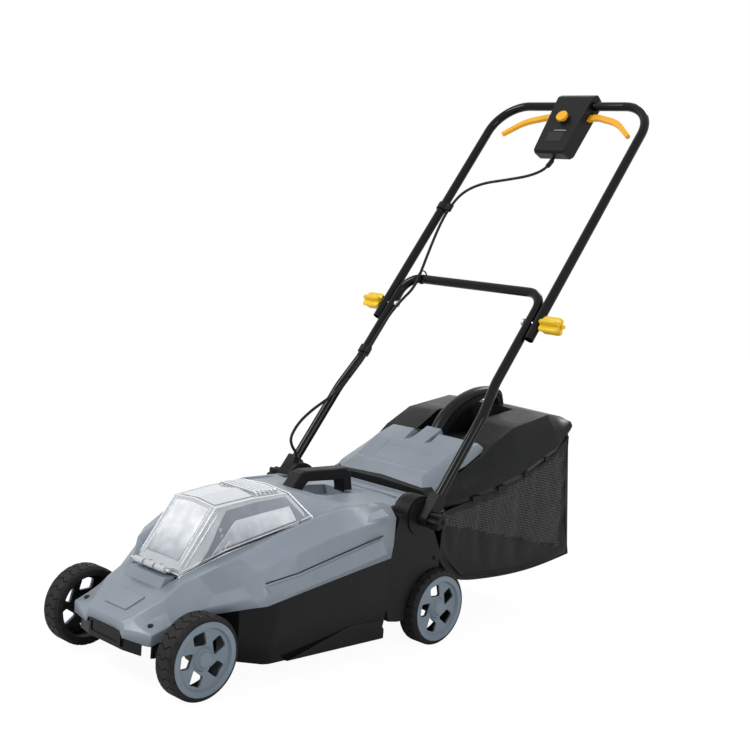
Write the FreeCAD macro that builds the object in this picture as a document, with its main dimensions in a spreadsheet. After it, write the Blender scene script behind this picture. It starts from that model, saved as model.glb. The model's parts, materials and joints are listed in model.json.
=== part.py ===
"""Cordless walk-behind rotary mower with a rear grass box.

Millimetres. +X is the mower's right-hand side seen from the front, -Y is its front, +Z is up.
Shapes are drawn in the axle frame: y = 0 at the front axle and z = 0 on the ground.  Each finished
piece's Placement then moves it by `centre_shift`, so that the origin lies on the ground under the
middle of the whole mower.
"""
import FreeCAD
import Part
import math
import os
import re
from types import SimpleNamespace

V = FreeCAD.Vector
Placement = FreeCAD.Placement
Rotation = FreeCAD.Rotation

doc = FreeCAD.newDocument("mower")

# ---------------------------------------------------------------- driving sizes
SIZES = [
    ("wheel_radius", 70.0),
    ("wheel_width", 41.0),
    ("rim_radius", 57.0),
    ("tyre_groove_depth", 2.4),
    ("axle_radius", 5.0),
    ("turning_gap", 0.05),
    ("fit_gap", 0.3),
    ("wheelbase", 538.7),
    ("front_outer_x", 179.3),
    ("rear_outer_x", 193.9),
    ("deck_half_width", 184.0),
    ("deck_wall", 3.5),
    ("skirt_z", 34.0),
    ("cavity_radius", 172.0),
    ("cavity_top_z", 118.0),
    ("deck_plate", 4.0),
    ("motor_y", 262.0),
    ("motor_radius", 48.0),
    ("motor_height", 82.0),
    ("shaft_radius", 6.0),
    ("bearing_radius", 13.0),
    ("blade_length", 320.0),
    ("blade_width", 46.0),
    ("blade_thickness", 3.2),
    ("blade_z", 46.0),
    ("hood_wall", 2.6),
    ("cover_wall", 2.5),
    ("cover_hinge_y", 17.0),
    ("cover_hinge_z", 178.0),
    ("hinge_pin_radius", 2.5),
    ("battery_length", 118.0),
    ("battery_width", 76.0),
    ("battery_height", 86.0),
    ("battery_floor_z", 163.0),
    ("cell_radius", 9.2),
    ("cell_length", 65.0),
    ("handle_angle", 53.5),
    ("pivot_y", 482.0),
    ("pivot_z", 247.0),
    ("tube_radius", 9.5),
    ("tube_wall", 1.2),
    ("lower_tube_foot_x", 192.0),
    ("lower_tube_top_x", 181.0),
    ("upper_tube_x", 201.0),
    ("joint_reach", 441.0),
    ("crossbar_reach", 511.0),
    ("upper_end_reach", 403.0),
    ("top_bar_reach", 1001.0),
    ("crossbar_bend", 38.0),
    ("top_bar_bend", 76.0),
    ("bolt_radius", 4.0),
    ("panel_outer_x", 177.0),
    ("panel_inner_x", 142.0),
    ("panel_dome_radius", 38.0),
    ("cable_radius", 3.0),
    ("box_half_width", 168.0),
    ("bag_wall", 2.0),
    ("frame_wire_radius", 2.5),
    ("button_stem_radius", 8.0),
    ("button_head_radius", 13.0),
    ("button_travel", 4.0),
    ("centre_shift", -514.0),
]
sheet = doc.addObject("Spreadsheet::Sheet", "Sizes")
for row, (alias, value) in enumerate(SIZES, start=1):
    sheet.set(f"A{row}", alias)
    sheet.set(f"B{row}", str(value))
    sheet.setAlias(f"B{row}", alias)
doc.recompute()
s = SimpleNamespace(**{alias: float(sheet.get(alias)) for alias, _ in SIZES})
ALIASES = re.compile(r"\b(" + "|".join(alias for alias, _ in SIZES) + r")\b")

PIECES = {}
SIDES = (("left", -1), ("right", 1))


# ---------------------------------------------------------------- small helpers
def drive(obj, prop, value):
    """Set a property to a number, or bind it to the sheet when value is written with size names."""
    if isinstance(value, str):
        obj.setExpression(prop, ALIASES.sub(r"Sizes.\1", value))
    else:
        setattr(obj, prop, value)


def finish(obj, name):
    """Name a finished piece and move it from the axle frame into the mower's own frame."""
    obj.Label = name
    shift = Placement(V(0, s.centre_shift, 0), Rotation())
    obj.Placement = shift.multiply(obj.Placement)
    PIECES[name] = obj
    return obj


def rounded(points):
    """Edges of a closed outline. A point (u, v, r) is a corner rounded with radius r."""
    corners = [(V(p[0], p[1], 0), p[2] if len(p) > 2 else 0.0) for p in points]
    ends = []
    count = len(corners)
    for i, (point, radius) in enumerate(corners):
        back = (corners[i - 1][0] - point).normalize()
        ahead = (corners[(i + 1) % count][0] - point).normalize()
        if radius <= 0:
            ends.append((point, None, point))
            continue
        half = back.getAngle(ahead) / 2
        reach = radius / math.tan(half)
        start = point + back * reach
        end = point + ahead * reach
        middle_way = (back + ahead).normalize()
        middle = point + middle_way * (radius / math.sin(half) - radius)
        ends.append((start, middle, end))
    edges = []
    for i, (start, middle, end) in enumerate(ends):
        if middle is not None:
            edges.append(Part.Arc(start, middle, end))
        following = ends[(i + 1) % count][0]
        if end.distanceToPoint(following) > 1e-6:
            edges.append(Part.LineSegment(end, following))
    return edges


def circle(u, v, radius):
    return [Part.Circle(V(u, v, 0), V(0, 0, 1), radius)]


def new_body(name):
    return doc.addObject("PartDesign::Body", name)


def draw(body, plane, edges, offset=0.0, at=None, tilt=0.0):
    """Sketch on one of the body's own origin planes, offset along the plane's normal.

    XY looks along +Z, YZ along +X (u = y, v = z), XZ along -Y (u = x, v = z).  With `at`, an XY
    sketch is moved there and tilted about X.
    """
    sketch = body.newObject("Sketcher::SketchObject", "Outline")
    role = plane + "_Plane"
    support = next(f for f in body.Origin.OriginFeatures if f.Role == role)
    sketch.AttachmentSupport = [(support, "")]
    sketch.MapMode = "FlatFace"
    place = V(0, 0, offset) if at is None else at
    sketch.AttachmentOffset = Placement(place, Rotation(V(1, 0, 0), tilt))
    for edge in edges:
        sketch.addGeometry(edge, False)
    return sketch


def pad(body, plane, edges, offset, length, at=None, tilt=0.0):
    """Add material from `offset` towards +X, +Y or +Z."""
    flip = plane == "XZ"
    feature_sketch = draw(body, plane, edges, -offset if flip else offset, at, tilt)
    feature = body.newObject("PartDesign::Pad", "Pad")
    feature.Profile = feature_sketch
    feature.Reversed = flip
    drive(feature, "Length", length)
    return feature


def pocket(body, plane, edges, offset, length, at=None, tilt=0.0):
    """Take material away from `offset` towards +X, +Y or +Z."""
    flip = plane == "XZ"
    feature_sketch = draw(body, plane, edges, -offset if flip else offset, at, tilt)
    feature = body.newObject("PartDesign::Pocket", "Pocket")
    feature.Profile = feature_sketch
    feature.Reversed = not flip
    drive(feature, "Length", length)
    return feature


def revolve(body, edges):
    """Turn a profile (u = along X, v = radius) about the X axis."""
    feature = body.newObject("PartDesign::Revolution", "Turned")
    feature.Profile = draw(body, "XY", edges)
    feature.ReferenceAxis = (feature.Profile[0], ["H_Axis"])
    feature.Angle = 360.0
    return feature


def ring_pattern(body, feature, count):
    """Repeat a feature around the body's X axis."""
    pattern = body.newObject("PartDesign::PolarPattern", "Around")
    pattern.Originals = [feature]
    axis = next(f for f in body.Origin.OriginFeatures if f.Role == "X_Axis")
    pattern.Axis = (axis, [""])
    pattern.Angle = 360.0
    pattern.Occurrences = count
    body.Tip = pattern
    return pattern


def cylinder(name, radius, length, at, along):
    obj = doc.addObject("Part::Cylinder", name)
    drive(obj, "Radius", radius)
    drive(obj, "Height", length)
    obj.Placement = Placement(at, Rotation(V(0, 0, 1), along))
    return obj


def block(name, low, high):
    obj = doc.addObject("Part::Box", name)
    obj.Length = high[0] - low[0]
    obj.Width = high[1] - low[1]
    obj.Height = high[2] - low[2]
    obj.Placement = Placement(V(*low), Rotation())
    return obj


def cut(name, base, *tools):
    tool = tools[0] if len(tools) == 1 else fuse(name + "Tools", *tools)
    obj = doc.addObject("Part::Cut", name)
    obj.Base = base
    obj.Tool = tool
    return obj


def fuse(name, *shapes):
    obj = doc.addObject("Part::MultiFuse", name)
    obj.Shapes = list(shapes)
    return obj


def common(name, *shapes):
    obj = doc.addObject("Part::MultiCommon", name)
    obj.Shapes = list(shapes)
    return obj


def group(name, shapes):
    """Separate identical solids kept together in one piece."""
    obj = doc.addObject("Part::Compound", name)
    obj.Links = list(shapes)
    return obj


def prism(name, outline, x_from, x_to):
    """A side outline (y, z) drawn out along X."""
    sketch = doc.addObject("Sketcher::SketchObject", name + "Outline")
    turn = Rotation(V(0, 1, 0), V(0, 0, 1), V(1, 0, 0), "ZXY")
    sketch.Placement = Placement(V(x_from, 0, 0), turn)
    for edge in rounded(outline):
        sketch.addGeometry(edge, False)
    obj = doc.addObject("Part::Extrusion", name)
    obj.Base = sketch
    obj.DirMode = "Custom"
    obj.Dir = V(1, 0, 0)
    obj.LengthFwd = x_to - x_from
    obj.Solid = True
    return obj


def hull(name, stations, ruled):
    """Loft through upright sections. A station is (y, half outline), which is mirrored in x."""
    sections = []
    turn = Rotation(V(1, 0, 0), V(0, 0, 1), V(0, -1, 0), "ZXY")
    for y, half in stations:
        mirrored = [(-x, z) for x, z in reversed(half) if x > 0.01]
        section = doc.addObject("Sketcher::SketchObject", name + "Section")
        section.Placement = Placement(V(0, y, 0), turn)
        for edge in rounded(list(half) + mirrored):
            section.addGeometry(edge, False)
        sections.append(section)
    obj = doc.addObject("Part::Loft", name)
    obj.Sections = sections
    obj.Solid = True
    obj.Ruled = ruled
    return obj


def inset(stations, wall, floor_drop):
    """The same stations moved inwards by `wall`, with the lowest point dropped to open the base."""
    inner = []
    for y, half in stations:
        moved = []
        for i, (x, z) in enumerate(half):
            before = half[i - 1] if i else (x, z - 10.0)
            after = half[i + 1] if i + 1 < len(half) else (-x - 10.0, z)
            across = V(after[0] - before[0], after[1] - before[1], 0).normalize()
            new_x = max(x + across.y * -wall, 0.0) if x > 0.01 else 0.0
            moved.append((new_x, z + across.x * wall))
        moved[0] = (moved[0][0], half[0][1] - floor_drop)
        inner.append((y, moved))
    return inner


def route(points, bend=0.45):
    """Straight runs joined by tangent arcs, each as large as its two runs allow."""
    edges = []
    radii = []
    start = points[0]
    for before, point, after in zip(points, points[1:], points[2:]):
        back = before - point
        ahead = after - point
        shorter = min(back.Length, ahead.Length)
        reach = bend * shorter
        half = back.getAngle(ahead) / 2
        radius = reach * math.tan(half)
        back.normalize()
        ahead.normalize()
        arc_start = point + back * reach
        arc_end = point + ahead * reach
        middle = point + (back + ahead).normalize() * (radius / math.sin(half) - radius)
        edges.append(Part.LineSegment(start, arc_start).toShape())
        edges.append(Part.Arc(arc_start, middle, arc_end).toShape())
        radii.append(round(radius, 1))
        start = arc_end
    edges.append(Part.LineSegment(start, points[-1]).toShape())
    return Part.Wire(edges), radii


def swept(name, wire, radius):
    """A round bar of `radius` along a wire, as a Part sweep of a circle."""
    spine = doc.addObject("Part::Feature", name + "Spine")
    spine.Shape = wire
    start = wire.Edges[0]
    way = start.tangentAt(start.FirstParameter)
    section = doc.addObject("Part::Circle", name + "Section")
    drive(section, "Radius", radius)
    section.Placement = Placement(wire.Vertexes[0].Point, Rotation(V(0, 0, 1), way))
    obj = doc.addObject("Part::Sweep", name)
    obj.Sections = [section]
    obj.Spine = (spine, [f"Edge{i + 1}" for i in range(len(wire.Edges))])
    obj.Solid = True
    obj.Frenet = False
    return obj


# The handle's own plane: x across, `reach` up along the tubes from the lower pivot, `lift` out of it.
HANDLE_TILT = math.radians(s.handle_angle)
ALONG = V(0, math.cos(HANDLE_TILT), math.sin(HANDLE_TILT))
OUT = V(0, -math.sin(HANDLE_TILT), math.cos(HANDLE_TILT))
PIVOT = V(0, s.pivot_y, s.pivot_z)


def on_handle(x, reach, lift=0.0):
    return V(x, 0, 0) + PIVOT + ALONG * reach + OUT * lift


# ---------------------------------------------------------------- wheels
def wheel(name, side, outer_x, axle_y):
    """Tyre, spoked rim and hub cap, turned about X and placed at one end of an axle."""
    half = s.wheel_width / 2
    place = Placement(V(side * (outer_x - half), axle_y, s.wheel_radius), Rotation())
    if side < 0:
        place = place.multiply(Placement(V(), Rotation(V(0, 0, 1), 180)))

    tyre = new_body(name + "Tyre")
    crown = s.wheel_radius
    revolve(tyre, rounded([
        (-half, s.rim_radius), (-half, crown - 5, 3), (-half + 5, crown, 4),
        (half - 5, crown, 4), (half, crown - 5, 3), (half, s.rim_radius),
    ]))
    groove = pocket(tyre, "XY", rounded([
        (-half - 1, -1), (-9, 4), (0, -3), (9, 4), (half + 1, -1), (half + 1, 1.4), (9, 6.6),
        (0, -0.4), (-9, 6.6), (-half - 1, 1.4),
    ]), crown - s.tyre_groove_depth, "tyre_groove_depth + 2")
    ring_pattern(tyre, groove, 26)
    tyre.Placement = place
    finish(tyre, name + "_tyre")

    rim = new_body(name + "Rim")
    bore = s.axle_radius + s.turning_gap
    rim_outer = s.rim_radius - 0.05
    revolve(rim, rounded([
        (-half + 1, rim_outer), (half + 0.6, rim_outer), (half + 0.6, rim_outer + 4.2),
        (half + 1.4, rim_outer + 3.4), (half + 1.4, rim_outer - 5), (half - 4, rim_outer - 8),
        (half - 6, 21), (half - 1, 17), (half - 1, 10), (half - 7, 10), (half - 7, bore),
        (-half + 1, bore), (-half + 1, 11), (half - 12, 15), (half - 12, rim_outer - 3),
        (-half + 1, rim_outer - 3),
    ]))
    window = pocket(rim, "YZ", rounded([
        spoke_point(22.5, 4) + (3,), spoke_point(46, 20) + (4,), spoke_point(47, 50) + (5,),
        spoke_point(30, 58) + (3,),
    ]), half - 20, 30.0)
    ring_pattern(rim, window, 5)
    rim.Placement = place
    finish(rim, name + "_rim")

    cap = new_body(name + "Cap")
    revolve(cap, rounded([
        (half - 6.8, 0), (half + 3, 0), (half + 3, 11, 1.5), (half - 0.8, 14.5), (half - 0.8, 9.9),
        (half - 6.8, 9.9),
    ]))
    cap.Placement = place
    finish(cap, name + "_hub_cap")


def spoke_point(radius, degrees):
    angle = math.radians(degrees)
    return (radius * math.cos(angle), radius * math.sin(angle))


def wheels_and_axles():
    for side_name, side in SIDES:
        wheel("front_" + side_name, side, s.front_outer_x, 0.0)
        wheel("rear_" + side_name, side, s.rear_outer_x, s.wheelbase)
    axles = []
    for name, outer_x, y in (("front", s.front_outer_x, 0.0), ("rear", s.rear_outer_x, s.wheelbase)):
        reach = outer_x - 8
        start = V(-reach, y, s.wheel_radius)
        axles.append(cylinder(name + "Axle", "axle_radius", 2 * reach, start, V(1, 0, 0)))
    finish(group("Axles", axles), "axles")



# ---------------------------------------------------------------- deck
DUCT_HALF = 134.5


def deck_plan(inward):
    """Plan outline of the deck at one level, `inward` inside its widest."""
    wide = s.deck_half_width - inward
    shoulder = 150 - inward
    snout = 106.0
    half = [(snout, 57), (shoulder, 88, 18), (wide, 136, 34), (wide, 404.3)]
    return rounded([(-x,) + tuple(rest) for x, *rest in half] + [p for p in reversed(half)])


def deck():
    body = new_body("DeckShell")
    # Bellied side walls, from the skirt up into the hood.
    levels = ((s.skirt_z - 4, 13.0), (66.0, 3.5), (100.0, 0.0), (190.0, 1.0))
    loft = body.newObject("PartDesign::AdditiveLoft", "Walls")
    sketches = [draw(body, "XY", deck_plan(inward), level) for level, inward in levels]
    loft.Profile = sketches[0]
    loft.Sections = sketches[1:]
    # Snout under the hood's nose, which carries the front axle.
    snout = 105.5
    pad(body, "XY", rounded([
        (-snout, 60), (snout, 60), (snout, -50, 12), (46, -62, 4), (-46, -62, 4), (-snout, -50, 12),
    ]), 58.0, 70.0)
    # Discharge duct that rises to the grass box.
    duct_top = 252.0
    pad(body, "YZ", rounded([(395, 60), (545, 86), (545, duct_top), (508, duct_top), (403, 128)]),
        -DUCT_HALF, 2 * DUCT_HALF)
    pocket(body, "YZ", rounded([(380, 62), (560, 93), (560, 242), (516, 242), (420, 114), (380, 114)]),
           -DUCT_HALF + 5, 2 * DUCT_HALF - 10)
    # Blade cavity below, open space under the hood above.
    pocket(body, "XY", circle(0, s.motor_y, s.cavity_radius), 20.0, s.cavity_top_z - 20.0)
    above = s.cavity_top_z + s.deck_plate
    inner = s.deck_half_width - 5.0
    pocket(body, "XY", rounded([
        (-98, 60), (-143, 92, 18), (-inner, 139, 34), (-inner, 400.5), (inner, 400.5), (inner, 139, 34),
        (143, 92, 18), (98, 60),
    ]), above, 80.0)
    pocket(body, "XY", circle(0, s.motor_y, s.bearing_radius + 1.0), s.cavity_top_z - 5, 20.0)
    # Rim that the hood stands on, and the skirt's lower edge.
    gap = s.fit_gap
    hood_edge = [(y, half[0][1] - gap) for y, half in NOSE[1:2] + MAIN]
    pocket(body, "YZ", rounded([
        (-80, hood_edge[0][1]), *hood_edge[:-1], (404.4, hood_edge[-1][1]), (404.4, 300), (-80, 300),
    ]), -200.0, 400.0)
    pocket(body, "YZ", rounded([(-80, 0), (-80, 58), (44, 58), (96, 38), (130, 34), (426, 30), (426, 0)]),
           -200.0, 400.0)
    # The snout is hollow, with the axle bored through its side walls.
    wall = s.deck_wall
    pocket(body, "YZ", rounded([(-54, 50), (-54, 76), (2, 94), (40, 118), (52, 118), (52, 50)]),
           -snout + wall, 2 * (snout - wall))
    pocket(body, "YZ", circle(0, s.wheel_radius, s.axle_radius + 0.1), -120.0, 240.0)
    # Raised facet along the foot of the skirt, on both sides.
    facet = rounded([(172, 36), (318, 72), (392, 69), (404, 50), (404, 34)])
    pad(body, "YZ", facet, s.deck_half_width - 14, 12.5)
    pad(body, "YZ", facet, -s.deck_half_width + 1.5, 12.5)
    # Upright lip with a shallow recess in the middle of the nose.
    pad(body, "XZ", rounded([(-44, 62, 3), (44, 62, 3), (44, 90), (-44, 90)]), -66.5, 6.0)
    pocket(body, "XZ", rounded([(-38, 69, 3), (38, 69, 3), (38, 86), (-38, 86)]), -67.5, 3.0)
    finish(body, "deck_shell")


# ---------------------------------------------------------------- hood
HALF = s.deck_half_width
MAIN = [
    (2, [(112, 100), (113, 112), (112, 124), (103, 136), (54, 149), (30, 150), (0, 150)]),
    (36, [(118, 118), (120, 132), (119, 146), (108, 158), (62, 166), (40, 182), (0, 183)]),
    (98, [(HALF - 1, 136), (HALF - 3, 152), (HALF - 6, 170), (HALF - 24, 188), (90, 205), (56, 275),
          (0, 279)]),
    (180, [(HALF, 149), (HALF - 2, 170), (HALF - 5, 192), (HALF - 19, 212), (110, 230), (60, 284),
           (0, 288)]),
    (258, [(HALF, 161), (HALF - 2, 184), (HALF - 5, 207), (HALF - 16, 232), (130, 256), (60, 288),
           (0, 291)]),
    (330, [(HALF, 172), (HALF - 2, 196), (HALF - 5, 219), (HALF - 14, 246), (140, 268), (60, 277),
           (0, 278)]),
    (404, [(HALF, 182), (HALF - 2, 197), (HALF - 5, 227), (HALF - 12, 256), (140, 270), (60, 269),
           (0, 269)]),
]
NOSE = [
    (-68, [(52, 80), (53, 84), (52, 90), (50, 98), (46, 103), (20, 103.4), (0, 103.5)]),
    (-54, [(107, 79), (108, 84), (106, 92), (98, 102), (47, 112), (22, 112.8), (0, 113)]),
    (2, MAIN[0][1]),
]
TAIL = [
    (400, [(138, 150), (138, 170), (138, 200), (138, 240), (134, 264), (60, 269), (0, 269)]),
    (503, [(138, 150), (138, 170), (138, 200), (138, 240), (134, 259), (60, 263), (0, 263)]),
]
COVER = [
    (28, [(60, 160), (58, 166), (54, 171), (0, 172)]),
    (36, [(62, 160), (62, 167), (55, 183), (0, 184)]),
    (102, [(91, 196), (91, 206), (55, 276), (0, 281)]),
    (180, [(110, 220), (110, 230), (58, 285), (0, 290)]),
    (262, [(131, 246), (131, 256), (60, 287), (0, 292)]),
]
COVER_SIDE = [(34, 171), (102, 210), (180, 234), (232, 248, 12), (256, 262, 12), (259, 310), (20, 310)]


def grown(outline, gap):
    """The cover's side outline moved outwards by a gap along its lower and rear edges."""
    moved = []
    for y, z, *radius in outline:
        down = -gap if z < 300 else gap
        back = gap if y > 230 else (-gap if y < 40 else 0.0)
        moved.append((y + back, z + down, *radius))
    return moved


def screw_head(name, side, radius, height):
    """A cylinder square to one of the two flats on the nose corners."""
    return cylinder(name, radius, height, V(side * 89, -42, 105.6), V(0, -0.3, 1))


def hood(handle_bar):
    wall = s.hood_wall
    outer = fuse("HoodOuter", hull("HoodNose", NOSE, True), hull("HoodMain", MAIN, False),
                 hull("HoodTail", TAIL, True))
    nose_inner = inset(NOSE, wall, 20)
    nose_inner[0] = (nose_inner[0][0] + wall, nose_inner[0][1])
    tail_inner = inset(TAIL, wall, 20)
    tail_inner[-1] = (tail_inner[-1][0] - wall, tail_inner[-1][1])
    main_inner = inset(MAIN, wall, 20)
    main_inner[-1] = (main_inner[-1][0] - wall, main_inner[-1][1])
    inner = [hull("HoodMainInside", main_inner, False), hull("HoodNoseInside", nose_inner, True)]
    inner.append(hull("HoodTailInside", tail_inner, True))
    through = block("TailThroat", (-130, 390, 186), (130, 410, 262))
    bay_cut = prism("BayOpening", grown(COVER_SIDE, 0.5), -200, 200)
    step_cut = block("StepCut", (-52, 3, 151), (52, 33, 200))
    hand_cut = block("HandCut", (-40, 340, 240), (40, 446, 300))
    notch = block("NoseNotch", (-45, -70, 70), (45, -58, 92))
    trunk = prism("TailTrunk", [(396, 120), (530, 120), (530, 253), (506, 253), (399, 126)],
                  -DUCT_HALF - 0.5, DUCT_HALF + 0.5)
    tail_foot = block("TailFoot", (-140, 390, 100), (140, 405, MAIN[-1][1][0][1]))
    sinks = [screw_head("NoseSink" + name, side, 4.8, 12.0) for name, side in SIDES]
    openings = [through, bay_cut, step_cut, hand_cut, notch, trunk, tail_foot]
    shell = cut("HoodShell", outer, *inner, *openings, *sinks)
    # Step below the cover's hinge, with lugs for its pin.
    step = prism("Step", [
        (0.5, 147.5), (1.0, 150), (30, 152), (30, 168), (33, 171), (35.5, 168), (32.5, 165), (32.5, 149),
    ], -54, 54)
    lugs = []
    for side_name, side in SIDES:
        lug = prism("HingeLug" + side_name, [
            (11, 151), (25, 151), (23, 180, 4), (s.cover_hinge_y, 185, 5), (11, 180, 4),
        ], side * 49 - 3, side * 49 + 3)
        lugs.append(cut("Lug" + side_name, lug, cylinder(
            "LugBore" + side_name, "hinge_pin_radius + 0.02", 20,
            V(side * 49 - 10, s.cover_hinge_y, s.cover_hinge_z), V(1, 0, 0))))
    # Tub under the carry handle.
    tub_out = block("TubOutside", (-42, 338, 247), (42, 448, 266.5))
    tub_in = block("TubInside", (-40, 340, 249.5), (40, 446, 300))
    tub = cut("Tub", tub_out, tub_in)
    # Round ears inside the black side panels.
    ears = []
    for side_name, side in SIDES:
        start = V(side * 126, s.pivot_y, s.pivot_z)
        ears.append(cylinder("Ear" + side_name, "panel_dome_radius - 10", 15.6, start, V(side, 0, 0)))
    ear_inside = block("EarInside", (-135.5, 440, 150), (135.5, 530, 260))
    ear_rear = block("EarRear", (-160, 503.5, 200), (160, 530, 300))
    ear_pair = cut("EarPair", fuse("EarSolids", *ears), ear_inside, ear_rear)
    whole = fuse("HoodWhole", shell, step, *lugs, tub, ear_pair)
    finish(cut("Hood", whole, handle_bar), "hood_cover")

    plate = new_body("NamePlate")
    slope = math.degrees(math.atan2(46, 70))
    pad(plate, "XY", rounded([(-29, -18, 3), (29, -18, 3), (40, 18, 3), (-40, 18, 3)]), 0, 2.4,
        V(0, -33, 127.2), slope)
    finish(plate, "name_plate")


def screws():
    """Countersunk screws on the nose corners and the side panels, kept as one piece."""
    heads = []
    for side_name, side in SIDES:
        heads.append(screw_head("NoseScrew" + side_name, side, 4.5, 3.0))
        heads.append(cylinder("PanelScrew" + side_name, 4.0, 2.2,
                              V(side * (s.panel_outer_x + 0.02), 533, 163), V(side, 0, 0)))
    finish(group("Screws", heads), "body_screws")


def battery_cover():
    wall = s.cover_wall
    outer = hull("CoverOuter", COVER, True)
    inside = inset(COVER, wall, 20)
    inside = [(28, inside[0][1]), (38.5, inside[1][1]), (104.5, inside[2][1])] + inside[3:]
    within = hull("CoverInside", inside[1:], True)
    trimmed = common("CoverTrim", outer, prism("CoverKeep", COVER_SIDE, -200, 200))
    shell = cut("CoverShell", trimmed, within)
    hinge = V(-44, s.cover_hinge_y, s.cover_hinge_z)
    barrels = []
    for i in range(3):
        start = hinge + V(3 + 29 * i, 0, 0)
        barrels.append(cylinder(f"Barrel{i}", 5.5, 24, start, V(1, 0, 0)))
        low = (start.x, s.cover_hinge_y, s.cover_hinge_z - 2)
        barrels.append(block(f"Leaf{i}", low, (start.x + 24, 38.5, s.cover_hinge_z + 2)))
    pin_hole = cylinder("CoverPinHole", "hinge_pin_radius + turning_gap", 120,
                        V(-60, s.cover_hinge_y, s.cover_hinge_z), V(1, 0, 0))
    ridges = [block(f"Ridge{i}", (-50, 196 + 9 * i, 289.2), (50, 199 + 9 * i, 292.4)) for i in range(6)]
    joined = fuse("CoverJoined", shell, *barrels, *ridges)
    finish(cut("Cover", joined, pin_hole), "battery_cover")


def battery_bay():
    """Liner below the clear cover with the well that holds the battery, and the battery itself."""
    wall = 2.5
    half_x = s.battery_width / 2 + 1
    near = 84.0
    far = near + s.battery_length + 2
    floor = s.battery_floor_z
    slope = prism("TraySlope", [
        (37, 163), (102, 199), (180, 223), (255, 244), (255, 247), (180, 226), (102, 202), (37, 166),
    ], -170, 170)
    inside_hood = hull("TrayLimit", inset(inset(MAIN, s.hood_wall, 0), 0.4, 20), False)
    well_out = block("WellOutside", (-half_x - wall, near - wall, floor - 3), (half_x + wall, far + wall, 226))
    well_in = block("WellInside", (-half_x, near, floor), (half_x, far, 300))
    above = prism("TrayAbove", [(37, 166), (102, 202), (180, 226), (255, 247), (255, 300), (37, 300)],
                  -170, 170)
    solid = fuse("TraySolid", common("TrayPlate", slope, inside_hood), well_out)
    body = cut("TrayShape", solid, well_in, above)
    finish(body, "battery_tray")

    battery = new_body("BatteryCase")
    low = floor + 0.3
    top = low + s.battery_height
    width = s.battery_width / 2 - 0.3
    front = near + 1
    back = front + s.battery_length
    pad(battery, "YZ", rounded([
        (front, low, 5), (back, low, 5), (back, top - 6, 5), (back - 30, top, 6), (front + 26, top, 6),
        (front, top - 12, 8),
    ]), -width, 2 * width)
    cells_low = low + 10
    pocket(battery, "YZ", rounded([
        (front + 8, cells_low, 2), (back - 8, cells_low, 2), (back - 8, cells_low + 40, 2),
        (front + 8, cells_low + 40, 2),
    ]), -s.cell_length / 2 - 1, "cell_length + 2")
    pocket(battery, "XY", rounded([(-12, front + 8), (12, front + 8), (12, front + 24), (-12, front + 24)]),
           top - 16, 30.0)
    finish(battery, "battery_case")

    latch = new_body("BatteryLatch")
    pad(latch, "XY", rounded([
        (-11.6, front + 8.4, 2), (11.6, front + 8.4, 2), (11.6, front + 23.6, 2), (-11.6, front + 23.6, 2),
    ]), top - 13.5, 10.5)
    finish(latch, "battery_latch")

    cells = []
    pitch = 2 * s.cell_radius + 0.6
    for column in range(5):
        for line in range(2):
            cell_y = front + 10 + pitch * (column + 0.5)
            cell_z = cells_low + pitch * (line + 0.5)
            cells.append(cylinder(f"Cell{column}{line}", "cell_radius", "cell_length",
                                  V(-s.cell_length / 2, cell_y, cell_z), V(1, 0, 0)))
    finish(group("Cells", cells), "battery_cells")

    board_z = s.cavity_top_z + s.deck_plate + 0.05
    board = block("Controller", (-122, 214, board_z), (-58, 310, board_z + 20))
    finish(board, "motor_controller")


def carry_handle():
    """Grip bar along Y over the tub in the hood; the hood is cut to fit its two feet."""
    body = new_body("CarryHandle")
    pad(body, "YZ", rounded([
        (299, 268.5), (331, 306, 5), (345, 311, 10), (448, 309, 8), (461, 298, 8), (470, 256), (447.5, 256),
        (440, 286, 6), (352, 290, 8), (333, 268.5),
    ]), -14.0, 28.0)
    return body


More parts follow.
